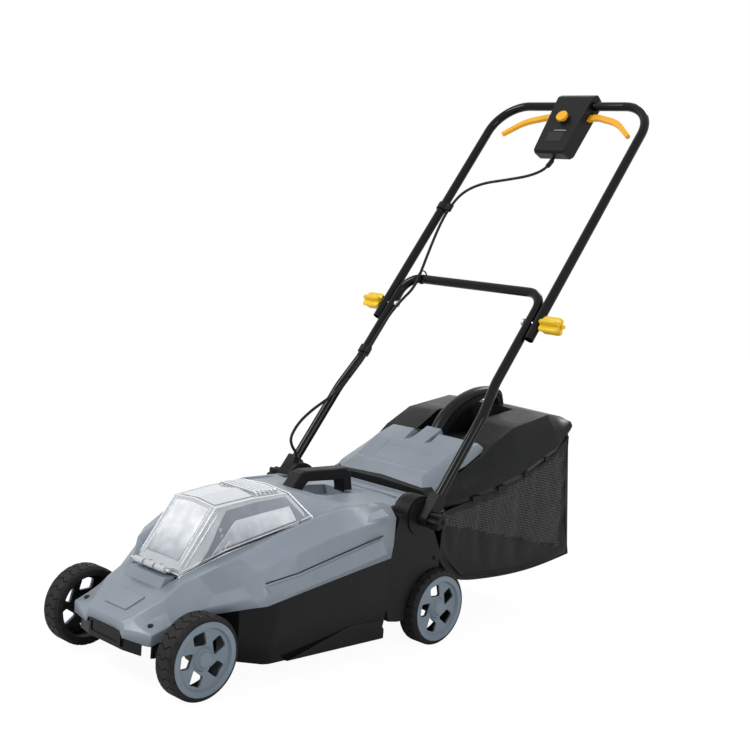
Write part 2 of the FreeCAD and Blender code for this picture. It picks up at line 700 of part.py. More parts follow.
# ---------------------------------------------------------------- motor and blade
def motor_and_blade():
    y = s.motor_y
    base = s.cavity_top_z + s.deck_plate
    top = base + s.motor_height
    up = V(0, 0, 1)
    can = cylinder("CanOutside", "motor_radius", "motor_height", V(0, y, base), up)
    hollow = cylinder("CanInside", "motor_radius - 3.5", s.motor_height - 16, V(0, y, base + 8), up)
    bore = cylinder("CanBore", "bearing_radius + 0.02", 200, V(0, y, base - 50), up)
    bore_limit = cylinder("CanTopShoulder", "bearing_radius", 1.5, V(0, y, top - 1.5), up)
    finish(fuse("MotorCan", cut("CanShell", can, hollow, bore), bore_limit), "motor_housing")

    inner = s.motor_radius - 3.55
    stator = cylinder("StatorOutside", "motor_radius - 3.55", 46, V(0, y, base + 16), up)
    finish(cut("Stator", stator, cylinder("StatorBore", inner - 14, 60, V(0, y, base + 10), up)),
           "motor_stator")
    bearings = []
    for name, z in (("Lower", base), ("Upper", top - 9.5)):
        ring = cylinder(name + "Race", "bearing_radius", 8, V(0, y, z), up)
        hole = cylinder(name + "Bore", "shaft_radius + turning_gap", 12, V(0, y, z - 2), up)
        bearings.append(cut(name + "Bearing", ring, hole))
    finish(group("Bearings", bearings), "motor_bearings")

    shaft_low = s.blade_z + s.blade_thickness + 8
    shaft = cylinder("Shaft", "shaft_radius", top - 2 - shaft_low, V(0, y, shaft_low), up)
    rotor = cylinder("Rotor", inner - 14.6, 44, V(0, y, base + 17), up)
    finish(fuse("RotorOnShaft", shaft, rotor), "motor_rotor")

    blade = new_body("Blade")
    half_l = s.blade_length / 2
    half_w = s.blade_width / 2
    thick = s.blade_thickness
    pad(blade, "XY", rounded([
        (-half_l, y - half_w, 5), (half_l, y - half_w + 4, 5), (half_l, y + half_w, 5),
        (-half_l, y + half_w - 4, 5),
    ]), s.blade_z, "blade_thickness")
    for side in (-1, 1):
        edge_y = y + side * (half_w - thick)
        low_y = min(edge_y, edge_y + side * thick)
        x_in = side * (half_l - 70)
        x_out = side * (half_l - 8)
        pad(blade, "XY", rounded([
            (min(x_in, x_out), low_y), (max(x_in, x_out), low_y), (max(x_in, x_out), low_y + thick),
            (min(x_in, x_out), low_y + thick),
        ]), s.blade_z, 13.0)
    pocket(blade, "XY", circle(0, y, 4.05), s.blade_z - 2, 10.0)
    finish(blade, "blade")

    fan = new_body("BladeFan")
    seat = s.blade_z + s.blade_thickness
    pad(fan, "XY", circle(0, y, 46), seat, 5.0)
    pad(fan, "XY", circle(0, y, 13), seat, 32.0)
    for i in range(6):
        angle = math.radians(60 * i)
        corners = []
        for radius, across in ((12, -1.5), (44, -1.5), (44, 1.5), (12, 1.5)):
            corners.append((radius * math.cos(angle) - across * math.sin(angle),
                            y + radius * math.sin(angle) + across * math.cos(angle)))
        pad(fan, "XY", rounded(corners), seat + 4, 14.0)
    pocket(fan, "XY", circle(0, y, s.shaft_radius), seat + 8, 40.0)
    pocket(fan, "XY", circle(0, y, 4.05), seat - 2, 20.0)
    finish(fan, "blade_fan")

    hexagon = [(9 * math.cos(math.radians(60 * i)), y + 9 * math.sin(math.radians(60 * i))) for i in range(6)]
    bolt = new_body("BladeBolt")
    pad(bolt, "XY", rounded(hexagon), s.blade_z - 7.5, 7.5)
    pad(bolt, "XY", circle(0, y, 4.0), s.blade_z - 1, thick + 8.9)
    finish(bolt, "blade_bolt")


# ---------------------------------------------------------------- rear side panels
FLAP_HINGE_Y = 512.0
FLAP_HINGE_Z = 262.0


def side_panels():
    pivot = (s.pivot_y, s.pivot_z)
    dome = s.panel_dome_radius
    depth = s.panel_outer_x - s.panel_inner_x
    panels = []
    for side_name, side in SIDES:
        body = new_body("SidePanel" + side_name)
        low_x = s.panel_inner_x if side > 0 else -s.panel_outer_x
        pad(body, "YZ", rounded([
            (443, 56), (420, 60), (404.8, 100), (404.8, 183), (430, 256), (512, 240), (545, 176, 8),
            (546, 130, 8), (562, 100), (562, 56),
        ]), low_x, depth)
        pad(body, "YZ", circle(*pivot, dome), low_x, depth)
        wheel_room = s.wheel_radius + 6
        room_x = s.rear_outer_x - s.wheel_width - 3
        room_depth = s.panel_outer_x - room_x + 10
        pocket(body, "YZ", circle(s.wheelbase, s.wheel_radius, wheel_room),
               room_x if side > 0 else -room_x - room_depth, room_depth)
        # Hollow from the inner face above the wheel room.
        pocket(body, "YZ", rounded([(414, 150, 4), (450, 150, 4), (500, 172, 4), (470, 205, 4), (428, 218, 4)]),
               s.panel_inner_x if side > 0 else -s.panel_outer_x + 3.5, depth - 3.5)
        pocket(body, "YZ", circle(*pivot, s.bolt_radius + 0.02), -200.0, 400.0)
        pocket(body, "YZ", circle(FLAP_HINGE_Y, FLAP_HINGE_Z, 3.05),
               s.panel_inner_x - 1 if side > 0 else -s.panel_inner_x - 8, 9.0)
        pocket(body, "YZ", circle(s.wheelbase, s.wheel_radius, s.axle_radius + 0.1), -200.0, 400.0)
        panels.append(body)
    finish(group("SidePanels", panels), "side_panels")
    discs = []
    for side_name, side in SIDES:
        disc = cylinder("Disc" + side_name, "panel_dome_radius - 5", 3.2,
                        V(side * s.panel_outer_x, *pivot), V(side, 0, 0))
        hole = cylinder("DiscHole" + side_name, "bolt_radius + 0.02", 10,
                        V(side * (s.panel_outer_x - 2), *pivot), V(side, 0, 0))
        discs.append(cut("DiscCut" + side_name, disc, hole))
    finish(group("Discs", discs), "pivot_discs")


# ---------------------------------------------------------------- handle
def tube(name, points, bends, radius, inner_radius):
    """A hollow tube through points, with its corners bent to given radii."""
    edges = []
    start = points[0]
    for before, point, after, bend in zip(points, points[1:], points[2:], bends):
        back = (before - point).normalize()
        ahead = (after - point).normalize()
        half = back.getAngle(ahead) / 2
        reach = bend / math.tan(half)
        middle = point + (back + ahead).normalize() * (bend / math.sin(half) - bend)
        arc_start = point + back * reach
        arc_end = point + ahead * reach
        edges.append(Part.LineSegment(start, arc_start).toShape())
        edges.append(Part.Arc(arc_start, middle, arc_end).toShape())
        start = arc_end
    edges.append(Part.LineSegment(start, points[-1]).toShape())
    wire = Part.Wire(edges)
    outside = swept(name + "Outside", wire, radius)
    if inner_radius is None:
        return outside
    return cut(name, outside, swept(name + "Inside", wire, inner_radius))


def handle():
    foot = s.lower_tube_foot_x
    top = s.lower_tube_top_x
    bar = s.crossbar_reach
    lower_points = [on_handle(-foot, 14), on_handle(-foot, 225), on_handle(-top, 298), on_handle(-top, bar)]
    lower_points += [V(-p.x, p.y, p.z) for p in reversed(lower_points)]
    bend = s.crossbar_bend
    lower = tube("LowerTube", lower_points, [120, 120, bend, bend, 120, 120], "tube_radius",
                 "tube_radius - tube_wall")
    outer = s.upper_tube_x
    upper_points = [on_handle(-outer, s.upper_end_reach), on_handle(-outer, s.top_bar_reach),
                    on_handle(outer, s.top_bar_reach), on_handle(outer, s.upper_end_reach)]
    bend = s.top_bar_bend
    upper = tube("UpperTube", upper_points, [bend, bend], "tube_radius", "tube_radius - tube_wall")
    across = V(1, 0, 0)
    bolt_hole = cylinder("JointHole", "bolt_radius + turning_gap", 520, on_handle(-260, s.joint_reach), across)
    finish(cut("LowerHandle", lower, bolt_hole), "lower_handle_tube")
    finish(cut("UpperHandle", upper, bolt_hole), "upper_handle_tube")

    collars = []
    for side_name, side in SIDES:
        collar = new_body("Collar" + side_name)
        half_wide = s.tube_radius + 2
        deep = s.tube_radius + 4.5
        low_x = side * foot - half_wide
        pad(collar, "YZ", rounded([
            (-15, -deep, 13), (-15, deep, 13), (48, deep - 1, 3), (48, 1 - deep, 3),
        ]), low_x, 2 * half_wide)
        pocket(collar, "YZ", circle(0, 0, s.bolt_radius + s.turning_gap), low_x - 5, 40.0)
        collar.Placement = Placement(PIVOT, Rotation(V(1, 0, 0), s.handle_angle))
        bore = cylinder("CollarBore" + side_name, "tube_radius + 0.1", 60, on_handle(side * foot, 13.5), ALONG)
        collars.append(cut("CollarCut" + side_name, collar, bore))
    finish(group("Collars", collars), "handle_collars")

    lower_bolts = []
    upper_bolts = []
    for side_name, side in SIDES:
        start = V(side * 146, s.pivot_y, s.pivot_z)
        lower_bolts.append(cylinder("PivotBolt" + side_name, "bolt_radius", 76, start, V(side, 0, 0)))
        inner_face = top - s.tube_radius
        start = on_handle(side * (inner_face - 0.2), s.joint_reach)
        shank = cylinder("JointBolt" + side_name, "bolt_radius", 71, start, V(side, 0, 0))
        head = cylinder("JointHead" + side_name, 7.0, 5.5, start, V(-side, 0, 0))
        upper_bolts.append(fuse("Bolt" + side_name, shank, head))
    finish(group("PivotBolts", lower_bolts), "pivot_bolts")
    finish(group("JointBolts", upper_bolts), "joint_bolts")

    for side_name, side in SIDES:
        pivot_seat = PIVOT + V(side * (foot + s.tube_radius + 2.5), 0, 0)
        knob(side_name + "_pivot_knob", pivot_seat, side, 26.0, 17.0, 8)
        knob(side_name + "_joint_knob", on_handle(side * (outer + s.tube_radius + 1.2), s.joint_reach), side,
             44.0, 19.0, 5)


def knob(name, seat, side, length, radius, lobes):
    """Fluted clamp knob on a bolt, its axis along X, with a blind bore from its seat."""
    body = new_body(name)
    pad(body, "YZ", circle(0, 0, radius - 4.5), 0, length)
    fluted = [(5.2, radius - 5.2)] * lobes
    for i, (lobe_radius, out) in enumerate(fluted):
        angle = 2 * math.pi * i / lobes
        pad(body, "YZ", circle(out * math.cos(angle), out * math.sin(angle), lobe_radius), 2.0, length - 5)
    pocket(body, "YZ", circle(0, 0, s.bolt_radius + s.turning_gap), -1, length - 5)
    turn = Rotation(V(0, 0, 1), 0 if side > 0 else 180)
    body.Placement = Placement(seat, turn)
    finish(body, name)


def switch_box():
    """Switch box on the top bar, in the handle's own plane: u = across, v = reach, w = lift."""
    place = Placement(PIVOT, Rotation(V(1, 0, 0), s.handle_angle))
    bar_reach = s.top_bar_reach
    side_low = [
        (bar_reach - 135, 1), (bar_reach - 129, -24, 4), (bar_reach - 117, -30, 4),
        (bar_reach + 11, -22, 4), (bar_reach + 25, -14, 6), (bar_reach + 26, 1),
    ]
    side_high = [
        (bar_reach - 135, 1), (bar_reach - 132, 9, 4), (bar_reach + 13, 16, 4), (bar_reach + 26, 8, 5),
        (bar_reach + 26, 1),
    ]
    taper = rounded([
        (-38, bar_reach - 141), (38, bar_reach - 141), (48, bar_reach + 34), (-48, bar_reach + 34),
    ])
    cavity_end = bar_reach - 13
    shells = []
    for name, side in (("BoxBase", side_low), ("BoxTop", side_high)):
        body = new_body(name)
        pad(body, "YZ", rounded(side), -48.0, 96.0)
        keep = new_body(name + "Taper")
        pad(keep, "XY", taper, -40.0, 80.0)
        body.Placement = place
        keep.Placement = place
        hollow = new_body(name + "Hollow")
        if name == "BoxBase":
            cavity = [(bar_reach - 131, 3), (bar_reach - 125, -20), (bar_reach - 115, -27), (cavity_end, -21),
                      (cavity_end, 3)]
        else:
            cavity = [(bar_reach - 131, -1), (bar_reach - 129, 6), (cavity_end, 12), (cavity_end, -1)]
        pad(hollow, "YZ", rounded(cavity), -34.0, 68.0)
        hollow.Placement = place
        bar = cylinder(name + "Bar", "tube_radius + 0.02", 200, on_handle(-100, bar_reach), V(1, 0, 0))
        slots = []
        for side_name, direction in SIDES:
            slot = new_body(name + "Slot" + side_name)
            low_x = 28 if direction > 0 else -60
            slot_low = bar_reach - 39
            slot_high = bar_reach - s.tube_radius - 1.3
            pad(slot, "XY", rounded([
                (low_x, slot_low), (low_x + 32, slot_low), (low_x + 32, slot_high), (low_x, slot_high),
            ]), -14, 11)
            slot.Placement = place
            slots.append(slot)
        shaped = common(name + "Shaped", body, keep)
        shells.append(cut(name + "Shell", shaped, hollow, bar, *slots))
    base, lid = shells
    exit_hole = cylinder("CableExit", "cable_radius + 0.02", 30, on_handle(0, bar_reach - 141, -19), ALONG)
    base = cut("BoxBaseWithExit", base, exit_hole)
    button_reach = bar_reach - 49
    stem = s.button_stem_radius
    button_hole = cylinder("ButtonHole", "button_stem_radius + fit_gap", 30, on_handle(0, button_reach, 0), OUT)
    bezel = cylinder("Bezel", stem + 3.5, 3.0, on_handle(0, button_reach, 12.2), OUT)
    finish(base, "switch_box_base")
    finish(cut("BoxTopCut", fuse("BoxTopBezel", lid, bezel), button_hole), "switch_box_top")

    head_low = 15.2 + s.button_travel + s.fit_gap
    stem_post = cylinder("ButtonStem", "button_stem_radius", head_low - 3, on_handle(0, button_reach, 4.5), OUT)
    head = cylinder("ButtonHead", "button_head_radius", 7.0, on_handle(0, button_reach, head_low), OUT)
    finish(fuse("Button", stem_post, head), "safety_button")

    for side_name, side in SIDES:
        lever = new_body("Lever" + side_name)
        edge = [
            (30, bar_reach - 33), (44, bar_reach - 35, 5), (66, bar_reach - 31, 30), (120, bar_reach - 45, 90),
            (163, bar_reach - 80, 4), (169, bar_reach - 73, 4), (124, bar_reach - 33, 90),
            (66, bar_reach - 18, 30), (30, bar_reach - 20),
        ]
        outline = [(side * u, v, *r) for u, v, *r in edge]
        pad(lever, "XY", rounded(outline), -12.5, 8.0)
        lever.Placement = place
        pin = cylinder("LeverPin" + side_name, 2.5, 10.8, on_handle(side * 36, bar_reach - 26.5, -13.9), OUT)
        finish(fuse("LeverWithPin" + side_name, lever, pin), side_name + "_switch_lever")


# ---------------------------------------------------------------- rear flap
def rear_flap():
    """Cover over the grass box mouth, with a dished top and a notched rear edge."""
    outline = [
        (515, 257), (517, 309, 3), (566, 316), (644, 333), (668, 361, 3), (677, 362, 3), (702, 350),
        (700.5, 347), (676, 358.5), (669, 357.5), (646, 329.5), (566, 312.5), (520.4, 306), (518.4, 257),
    ]
    half = 138.0
    top_sheet = prism("FlapSheet", outline, -half, half)
    cheeks = []
    for side_name, side in SIDES:
        low_x = half - 3.5 if side > 0 else -half
        cheeks.append(prism("FlapCheek" + side_name, [
            (517, 259), (519, 307), (566, 314), (644, 331), (669, 359), (690, 352), (640, 328), (566, 303),
            (530, 290), (522, 259),
        ], low_x, low_x + 3.5))
    slope = math.degrees(math.atan2(17, 78))
    dish = new_body("FlapDish")
    pad(dish, "XY", rounded([(-96, -38, 4), (96, -38, 4), (66, 40, 4), (-66, 40, 4)]), 0, 12.0,
        V(0, 600, 322.3), slope)
    notches = [block("FlapNotch" + name, (side * 27 - 7, 684, 330), (side * 27 + 7, 720, 380))
               for name, side in SIDES]
    slot = block("FlapSlot", (112, 510, 276), (115, 526, 290))
    barrel = cylinder("FlapBarrel", 5.5, 276, V(-half, FLAP_HINGE_Y, FLAP_HINGE_Z), V(1, 0, 0))
    bore = cylinder("FlapBore", 3 + s.turning_gap, 300, V(-150, FLAP_HINGE_Y, FLAP_HINGE_Z), V(1, 0, 0))
    whole = fuse("FlapWhole", top_sheet, *cheeks, barrel)
    finish(cut("Flap", whole, bore, slot, dish, *notches), "rear_flap")
    rod = cylinder("FlapRod", 3.0, 294, V(-147, FLAP_HINGE_Y, FLAP_HINGE_Z), V(1, 0, 0))
    pin_start = V(-52, s.cover_hinge_y, s.cover_hinge_z)
    cover_pin = cylinder("CoverPin", "hinge_pin_radius", 104, pin_start, V(1, 0, 0))
    finish(group("HingePins", [rod, cover_pin]), "hinge_pins")


# ---------------------------------------------------------------- grass box
LID = [
    (548, [(146, 240), (148, 250), (143, 264), (118, 276), (0, 280)]),
    (620, [(162, 256), (165, 266), (159, 282), (132, 300), (0, 305)]),
    (692, [(167, 270), (170, 280), (163, 302), (140, 334), (0, 336)]),
    (714, [(167, 274), (170, 284), (164, 308), (140, 352), (0, 352)]),
    (780, [(168, 290), (171, 300), (165, 324), (140, 386), (0, 396)]),
    (900, [(164, 336), (168, 346), (162, 368), (134, 407), (0, 412)]),
    (958, [(154, 374), (158, 384), (153, 392), (124, 399), (0, 402)]),
]


# Middle (y, z) of each clip on the rim, and the rim's half width there.
CLIP_PLACES = ((650, 262, 166.3), (722, 276, 169.8), (800, 297, 171.0), (866, 323, 169.4))


def grass_box():
    wall = 3.0
    outer = hull("LidOuter", LID, True)
    inner_stations = inset(LID, wall, 14)
    inner_stations[0] = (inner_stations[0][0] + wall, inner_stations[0][1])
    inner_stations[-1] = (inner_stations[-1][0] - wall, inner_stations[-1][1])
    inner = hull("LidInner", inner_stations, True)
    recess_out = block("RecessOutside", (-63, 716, 318), (63, 884, 440))
    recess_in = block("RecessInside", (-60, 719, 340), (60, 881, 460))
    tub = common("RecessTub", recess_out, outer)
    shell = fuse("LidShell", cut("LidHollow", outer, inner), tub)
    tub_low = block("RecessUnder", (-60, 719, 300), (60, 881, 337))
    arch = prism("LidArch", [
        (700, 344), (722, 376, 30), (770, 418, 80), (850, 443, 60), (896, 441, 20), (908, 406), (892, 406),
        (884, 424, 12), (850, 428, 40), (778, 402, 70), (735, 368, 30), (719, 344),
    ], -13, 13)
    finish(fuse("Lid", cut("LidOpen", shell, recess_in, tub_low), arch), "grass_box_lid")

    half = s.box_half_width - 6
    skin = s.bag_wall
    outline = [
        (562, 152), (562, 242), (620, 254), (690, 267), (780, 287), (900, 332), (944, 366), (946, 325),
        (950, 230), (984, 108, 8), (811, 91), (631, 99, 20),
    ]
    inside = [
        (540, 154), (540, 260), (620, 275), (690, 288), (780, 308), (900, 353), (944 - skin, 380),
        (944 - skin, 325), (950 - skin, 230), (984 - skin - 1, 110, 6), (811, 91 + skin), (632, 99 + skin, 20),
        (563, 152 + skin),
    ]
    hollow = prism("BagInside", inside, -half + skin, half - skin)
    finish(cut("Bag", prism("BagOutside", outline, -half, half), hollow), "grass_bag")

    mouth = new_body("MouthFrame")
    pad(mouth, "XZ", rounded([(-140.5, 118, 12), (140.5, 118, 12), (140.5, 237, 8), (-140.5, 237, 8)]),
        545.4, 16.3)
    pocket(mouth, "XZ", rounded([(-131, 128, 8), (131, 128, 8), (131, 228, 6), (-131, 228, 6)]), 540.0, 40.0)
    finish(mouth, "grass_box_mouth")

    rail = half - skin - s.frame_wire_radius - 0.2
    low = 103.5
    points = [V(-rail, 576, 160), V(-rail, 640, low + 6), V(-rail, 811, low - 5), V(-rail, 974, low + 12)]
    points += [V(-p.x, p.y, p.z) for p in reversed(points)]
    wire = tube("FrameWire", points, [30, 60, 14, 14, 60, 30], "frame_wire_radius", None)
    finish(wire, "grass_box_frame")

    clips = []
    for side_name, side in SIDES:
        for i, (y, z, x) in enumerate(CLIP_PLACES):
            low_x = side * x if side > 0 else side * x - 3.5
            clips.append(block(f"Clip{side_name}{i}", (low_x, y - 12, z - 5), (low_x + 3.5, y + 12, z + 5)))
    finish(group("Clips", clips), "grass_box_clips")


# ---------------------------------------------------------------- control cable
UPPER_ROUTE = [
    (0, 874, -19), (0, 845, -19), (-26, 815, -13), (-80, 796, -8), (-138, 778, -3), (-172, 748, 0),
    (-181, 705, 1), (-177, 662, 4), (-166, 616, 8), (-152, 564, 12), (-140, 513.3, 13.2),
]
LOWER_ROUTE = [
    (-139.9, 512.9, 13.2), (-132.5, 480, 14), (-149, 441, 14), (-163, 400, 9), (-168, 354, 5),
    (-168.7, 318, 4), (-170, 282, 4), (-174.5, 246, 5.5),
]
LOOP_ROUTE = [
    (-174.6, 623.6, 447.6), (-178.4, 602.7, 421.7), (-177.5, 571, 404), (-176, 532, 386), (-174, 494, 362),
    (-169, 468, 334), (-163, 468, 316), (-160, 480, 302), (-160, 480, 289.2),
]


def control_cable():
    routes = (
        ("cable_upper", [on_handle(*p) for p in UPPER_ROUTE]),
        ("cable_lower", [on_handle(*p) for p in LOWER_ROUTE]),
        ("cable_loop", [V(*p) for p in LOOP_ROUTE]),
    )
    total = 0.0
    for name, points in routes:
        wire, radii = route(points)
        total += wire.Length
        print(name, "length", round(wire.Length, 1), "bend radii", radii)
        cable = swept(name, wire, "cable_radius")
        finish(cable, name)
    print("cable length", round(total, 1))
    gland = cylinder("Gland", 6.0, 10, V(-160, 480, 285.02), V(0, 0, 1))
    bore = cylinder("GlandBore", "cable_radius + 0.02", 12, V(-160, 480, 289.0), V(0, 0, 1))
    finish(cut("GlandCut", gland, bore), "cable_gland")
    for name, reach, cable_x, tube_x, lift in (
            ("upper_cable_clip", 703, 179.5, s.upper_tube_x, 1.35), ("lower_cable_clip", 318, 168.7, 181.0, 4)):
        clip = new_body(name)
        pad(clip, "XZ", circle(-tube_x, 0, s.tube_radius + 3), reach - 8, 16.0)
        pad(clip, "XZ", circle(-cable_x, lift, s.cable_radius + 2.6), reach - 8, 16.0)
        middle = (cable_x + tube_x) / 2
        pad(clip, "XZ", rounded([(-middle - 8, -4), (-middle + 8, -3), (-middle + 8, 6), (-middle - 8, 6)]),
            reach - 8, 16.0)
        pocket(clip, "XZ", circle(-tube_x, 0, s.tube_radius + 0.02), reach - 20, 40.0)
        pocket(clip, "XZ", circle(-cable_x, lift, s.cable_radius + 0.8), reach - 20, 40.0)
        clip.Placement = Placement(PIVOT, Rotation(V(1, 0, 0), s.handle_angle))
        finish(clip, name)


# ---------------------------------------------------------------- build, check and write
wheels_and_axles()
deck()
finish(carry_handle(), "carry_handle")
hood(carry_handle())
screws()
battery_cover()
battery_bay()
motor_and_blade()
side_panels()
handle()
switch_box()
rear_flap()
grass_box()
control_cable()
doc.recompute()

failed = [obj.Label for obj in doc.Objects if "Invalid" in obj.State or "Error" in obj.State]
for name, obj in PIECES.items():
    if obj.Shape.isNull() or not obj.Shape.isValid() or not obj.Shape.Solids:
        failed.append(name)
if failed:
    raise RuntimeError("not built: " + ", ".join(failed))

os.makedirs("parts", exist_ok=True)
for name, obj in PIECES.items():
    obj.Shape.exportStep("parts/" + name + ".step")
print(len(PIECES), "pieces written")
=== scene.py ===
# %% [markdown]
# # A cordless rotary mower, dressed around its CAD
#
# The CAD holds every size, place and joint of this mower. This lesson gives it its looks: rounded
# edges, moulded plastic, powder-coated tube, a clear battery cover, a cloth grass bag and the
# control cable. We start by loading the CAD as a fixed frame. Nothing in it is moved.

# %% Load the frame
import json
import math
import bmesh
import bpy
from mathutils import Matrix, Vector
from mathutils.bvhtree import BVHTree


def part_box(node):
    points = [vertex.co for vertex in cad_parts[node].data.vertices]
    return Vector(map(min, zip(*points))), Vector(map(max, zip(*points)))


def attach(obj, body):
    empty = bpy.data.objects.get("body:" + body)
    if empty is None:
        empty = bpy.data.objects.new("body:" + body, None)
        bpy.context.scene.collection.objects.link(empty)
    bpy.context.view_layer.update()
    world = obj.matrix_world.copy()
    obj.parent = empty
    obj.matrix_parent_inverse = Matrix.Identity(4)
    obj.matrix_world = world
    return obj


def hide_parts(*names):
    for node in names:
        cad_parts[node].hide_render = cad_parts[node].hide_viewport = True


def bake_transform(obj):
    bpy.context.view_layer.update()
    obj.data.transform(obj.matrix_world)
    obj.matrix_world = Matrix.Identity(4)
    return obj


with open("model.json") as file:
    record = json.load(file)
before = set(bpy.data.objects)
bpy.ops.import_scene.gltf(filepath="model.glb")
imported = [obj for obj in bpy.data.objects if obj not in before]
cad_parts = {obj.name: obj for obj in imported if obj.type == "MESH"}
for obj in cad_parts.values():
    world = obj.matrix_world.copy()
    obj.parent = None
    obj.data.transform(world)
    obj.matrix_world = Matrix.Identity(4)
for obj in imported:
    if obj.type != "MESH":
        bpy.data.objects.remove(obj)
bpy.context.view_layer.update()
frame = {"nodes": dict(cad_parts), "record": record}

# %% [markdown]
# ## Camera
#
# The mower is seen from its front right corner at a little above wheel height, with a long lens, as
# in a catalogue. A camera is aimed here by yaw, pitch and roll, because those three angles say
# plainly how it is held. Three axes are built from them and become the camera's matrix.

# %% Camera
CAMERA_PLACE = Vector((1.7007, -1.7863, 0.7749))
CAMERA_YAW, CAMERA_PITCH, CAMERA_ROLL = (math.radians(a) for a in (43.53, -6.80, 4.81))
CAMERA_LENS = 62.59


def aimed_camera():
    ahead = Vector((-math.sin(CAMERA_YAW) * math.cos(CAMERA_PITCH),
                    math.cos(CAMERA_YAW) * math.cos(CAMERA_PITCH), math.sin(CAMERA_PITCH)))
    level = Vector((math.cos(CAMERA_YAW), math.sin(CAMERA_YAW), 0))
    above = level.cross(ahead)
    right = level * math.cos(CAMERA_ROLL) + above * math.sin(CAMERA_ROLL)
    up = above * math.cos(CAMERA_ROLL) - level * math.sin(CAMERA_ROLL)
    data = bpy.data.cameras.new("Camera")
    data.lens = CAMERA_LENS
    camera = bpy.data.objects.new("Camera", data)
    bpy.context.scene.collection.objects.link(camera)
    turn = Matrix((right, up, -ahead)).transposed().to_4x4()
    camera.matrix_world = Matrix.Translation(CAMERA_PLACE) @ turn
    bpy.context.scene.camera = camera
    return camera


print("camera", aimed_camera().location[:])

# %% [markdown]
# ## Places on the handle
#
# The folding handle is one flat frame that leans back. It is easiest to think of its parts in the
# frame's own plane: how far across, how far up along the tubes from the lower pivot, and how far
# out of the plane. This helper turns such a place into the mower's own metres.

# %% Handle plane
HANDLE_TILT = math.radians(53.5)
ALONG = Vector((0, math.cos(HANDLE_TILT), math.sin(HANDLE_TILT)))
OUT = Vector((0, -math.sin(HANDLE_TILT), math.cos(HANDLE_TILT)))
ACROSS = Vector((1, 0, 0))
PIVOT = Vector((0, -0.032, 0.247))


def on_handle(x, reach, lift=0.0):
    return ACROSS * x + PIVOT + ALONG * reach + OUT * lift


AXLE_BACK = 0.514
SIDES = (("left", -1), ("right", 1))


def place(x, y, z):
    """A point given from the front axle and the ground, in the mower's own frame."""
    return Vector((x, y - AXLE_BACK, z))


BAR_REACH = 1.001
print("grip bar at", [round(v, 3) for v in on_handle(0, BAR_REACH)])

# %% [markdown]
# ## Making meshes
#
# Every new piece goes through one small function that turns corners and faces into an object. A
# round bar is made by carrying a ring of corners along a line of points. Each ring is turned only
# as much as the line turns, so that the bar doesn't twist.

# %% Mesh helpers
def made(name, corners, faces, smooth=True):
    mesh = bpy.data.meshes.new(name)
    mesh.from_pydata([tuple(c) for c in corners], [], faces)
    mesh.validate()
    mesh.update()
    if smooth:
        mesh.shade_smooth()
    piece = bpy.data.objects.new(name, mesh)
    bpy.context.scene.collection.objects.link(piece)
    return piece


def faced_outward(piece, weld=0.0):
    """Turn every face outward, and first weld corners nearer than `weld`."""
    work = bmesh.new()
    work.from_mesh(piece.data)
    if weld:
        bmesh.ops.remove_doubles(work, verts=work.verts, dist=weld)
    bmesh.ops.recalc_face_normals(work, faces=work.faces)
    work.to_mesh(piece.data)
    work.free()


def grid_faces(rows, columns, flip=False):
    """Quads between the corners of a grid written row by row."""
    faces = []
    for j in range(rows - 1):
        for i in range(columns - 1):
            a = j * columns + i
            face = (a, a + 1, a + columns + 1, a + columns)
            faces.append(face[::-1] if flip else face)
    return faces


def ring_faces(rings, count):
    """Quads between rings that each hold `count` corners."""
    faces = []
    for i in range(rings - 1):
        for j in range(count):
            k = (j + 1) % count
            faces.append((i * count + j, i * count + k, (i + 1) * count + k, (i + 1) * count + j))
    return faces


def surface_tree(node):
    """A CAD piece's faces, ready to be found by a ray."""
    mesh = frame["nodes"][node].data
    return BVHTree.FromPolygons([v.co for v in mesh.vertices], [tuple(f.vertices) for f in mesh.polygons])


def ring_frames(line):
    """A pair of directions across a line at each of its points, carried along without twist."""
    frames = []
    way = (line[1] - line[0]).normalized()
    side = way.orthogonal().normalized()
    for i in range(len(line)):
        new_way = (line[min(i + 1, len(line) - 1)] - line[max(i - 1, 0)]).normalized()
        side = way.rotation_difference(new_way) @ side
        way = new_way
        frames.append((side.normalized(), way.cross(side).normalized()))
    return frames


def bar(name, line, section, sides_from=None):
    """A closed bar whose section, a list of (u, v), is carried along a line."""
    frames = sides_from or ring_frames(line)
    corners = []
    for point, (u_way, v_way) in zip(line, frames):
        corners += [point + u_way * u + v_way * v for u, v in section]
    count = len(section)
    faces = ring_faces(len(line), count)
    faces.append(tuple(reversed(range(count))))
    faces.append(tuple(range((len(line) - 1) * count, len(line) * count)))
    return made(name, corners, faces)


def round_section(radius, sides=14):
    return [(radius * math.cos(2 * math.pi * i / sides), radius * math.sin(2 * math.pi * i / sides))
            for i in range(sides)]


def smooth_line(points):
    """The line of an order 3 NURBS spline with these control points."""
    curve = bpy.data.curves.new("Route", "CURVE")
    curve.dimensions = "3D"
    curve.resolution_u = 10
    spline = curve.splines.new("NURBS")
    spline.points.add(len(points) - 1)
    for knot, point in zip(spline.points, points):
        knot.co = (*point, 1.0)
    spline.order_u = 3
    spline.use_endpoint_u = True
    holder = bpy.data.objects.new("Route", curve)
    bpy.context.scene.collection.objects.link(holder)
    mesh = bpy.data.meshes.new_from_object(holder.evaluated_get(bpy.context.evaluated_depsgraph_get()))
    line = [v.co.copy() for v in mesh.vertices]
    bpy.data.objects.remove(holder)
    return line


def length_of(line):
    return sum((b - a).length for a, b in zip(line, line[1:]))
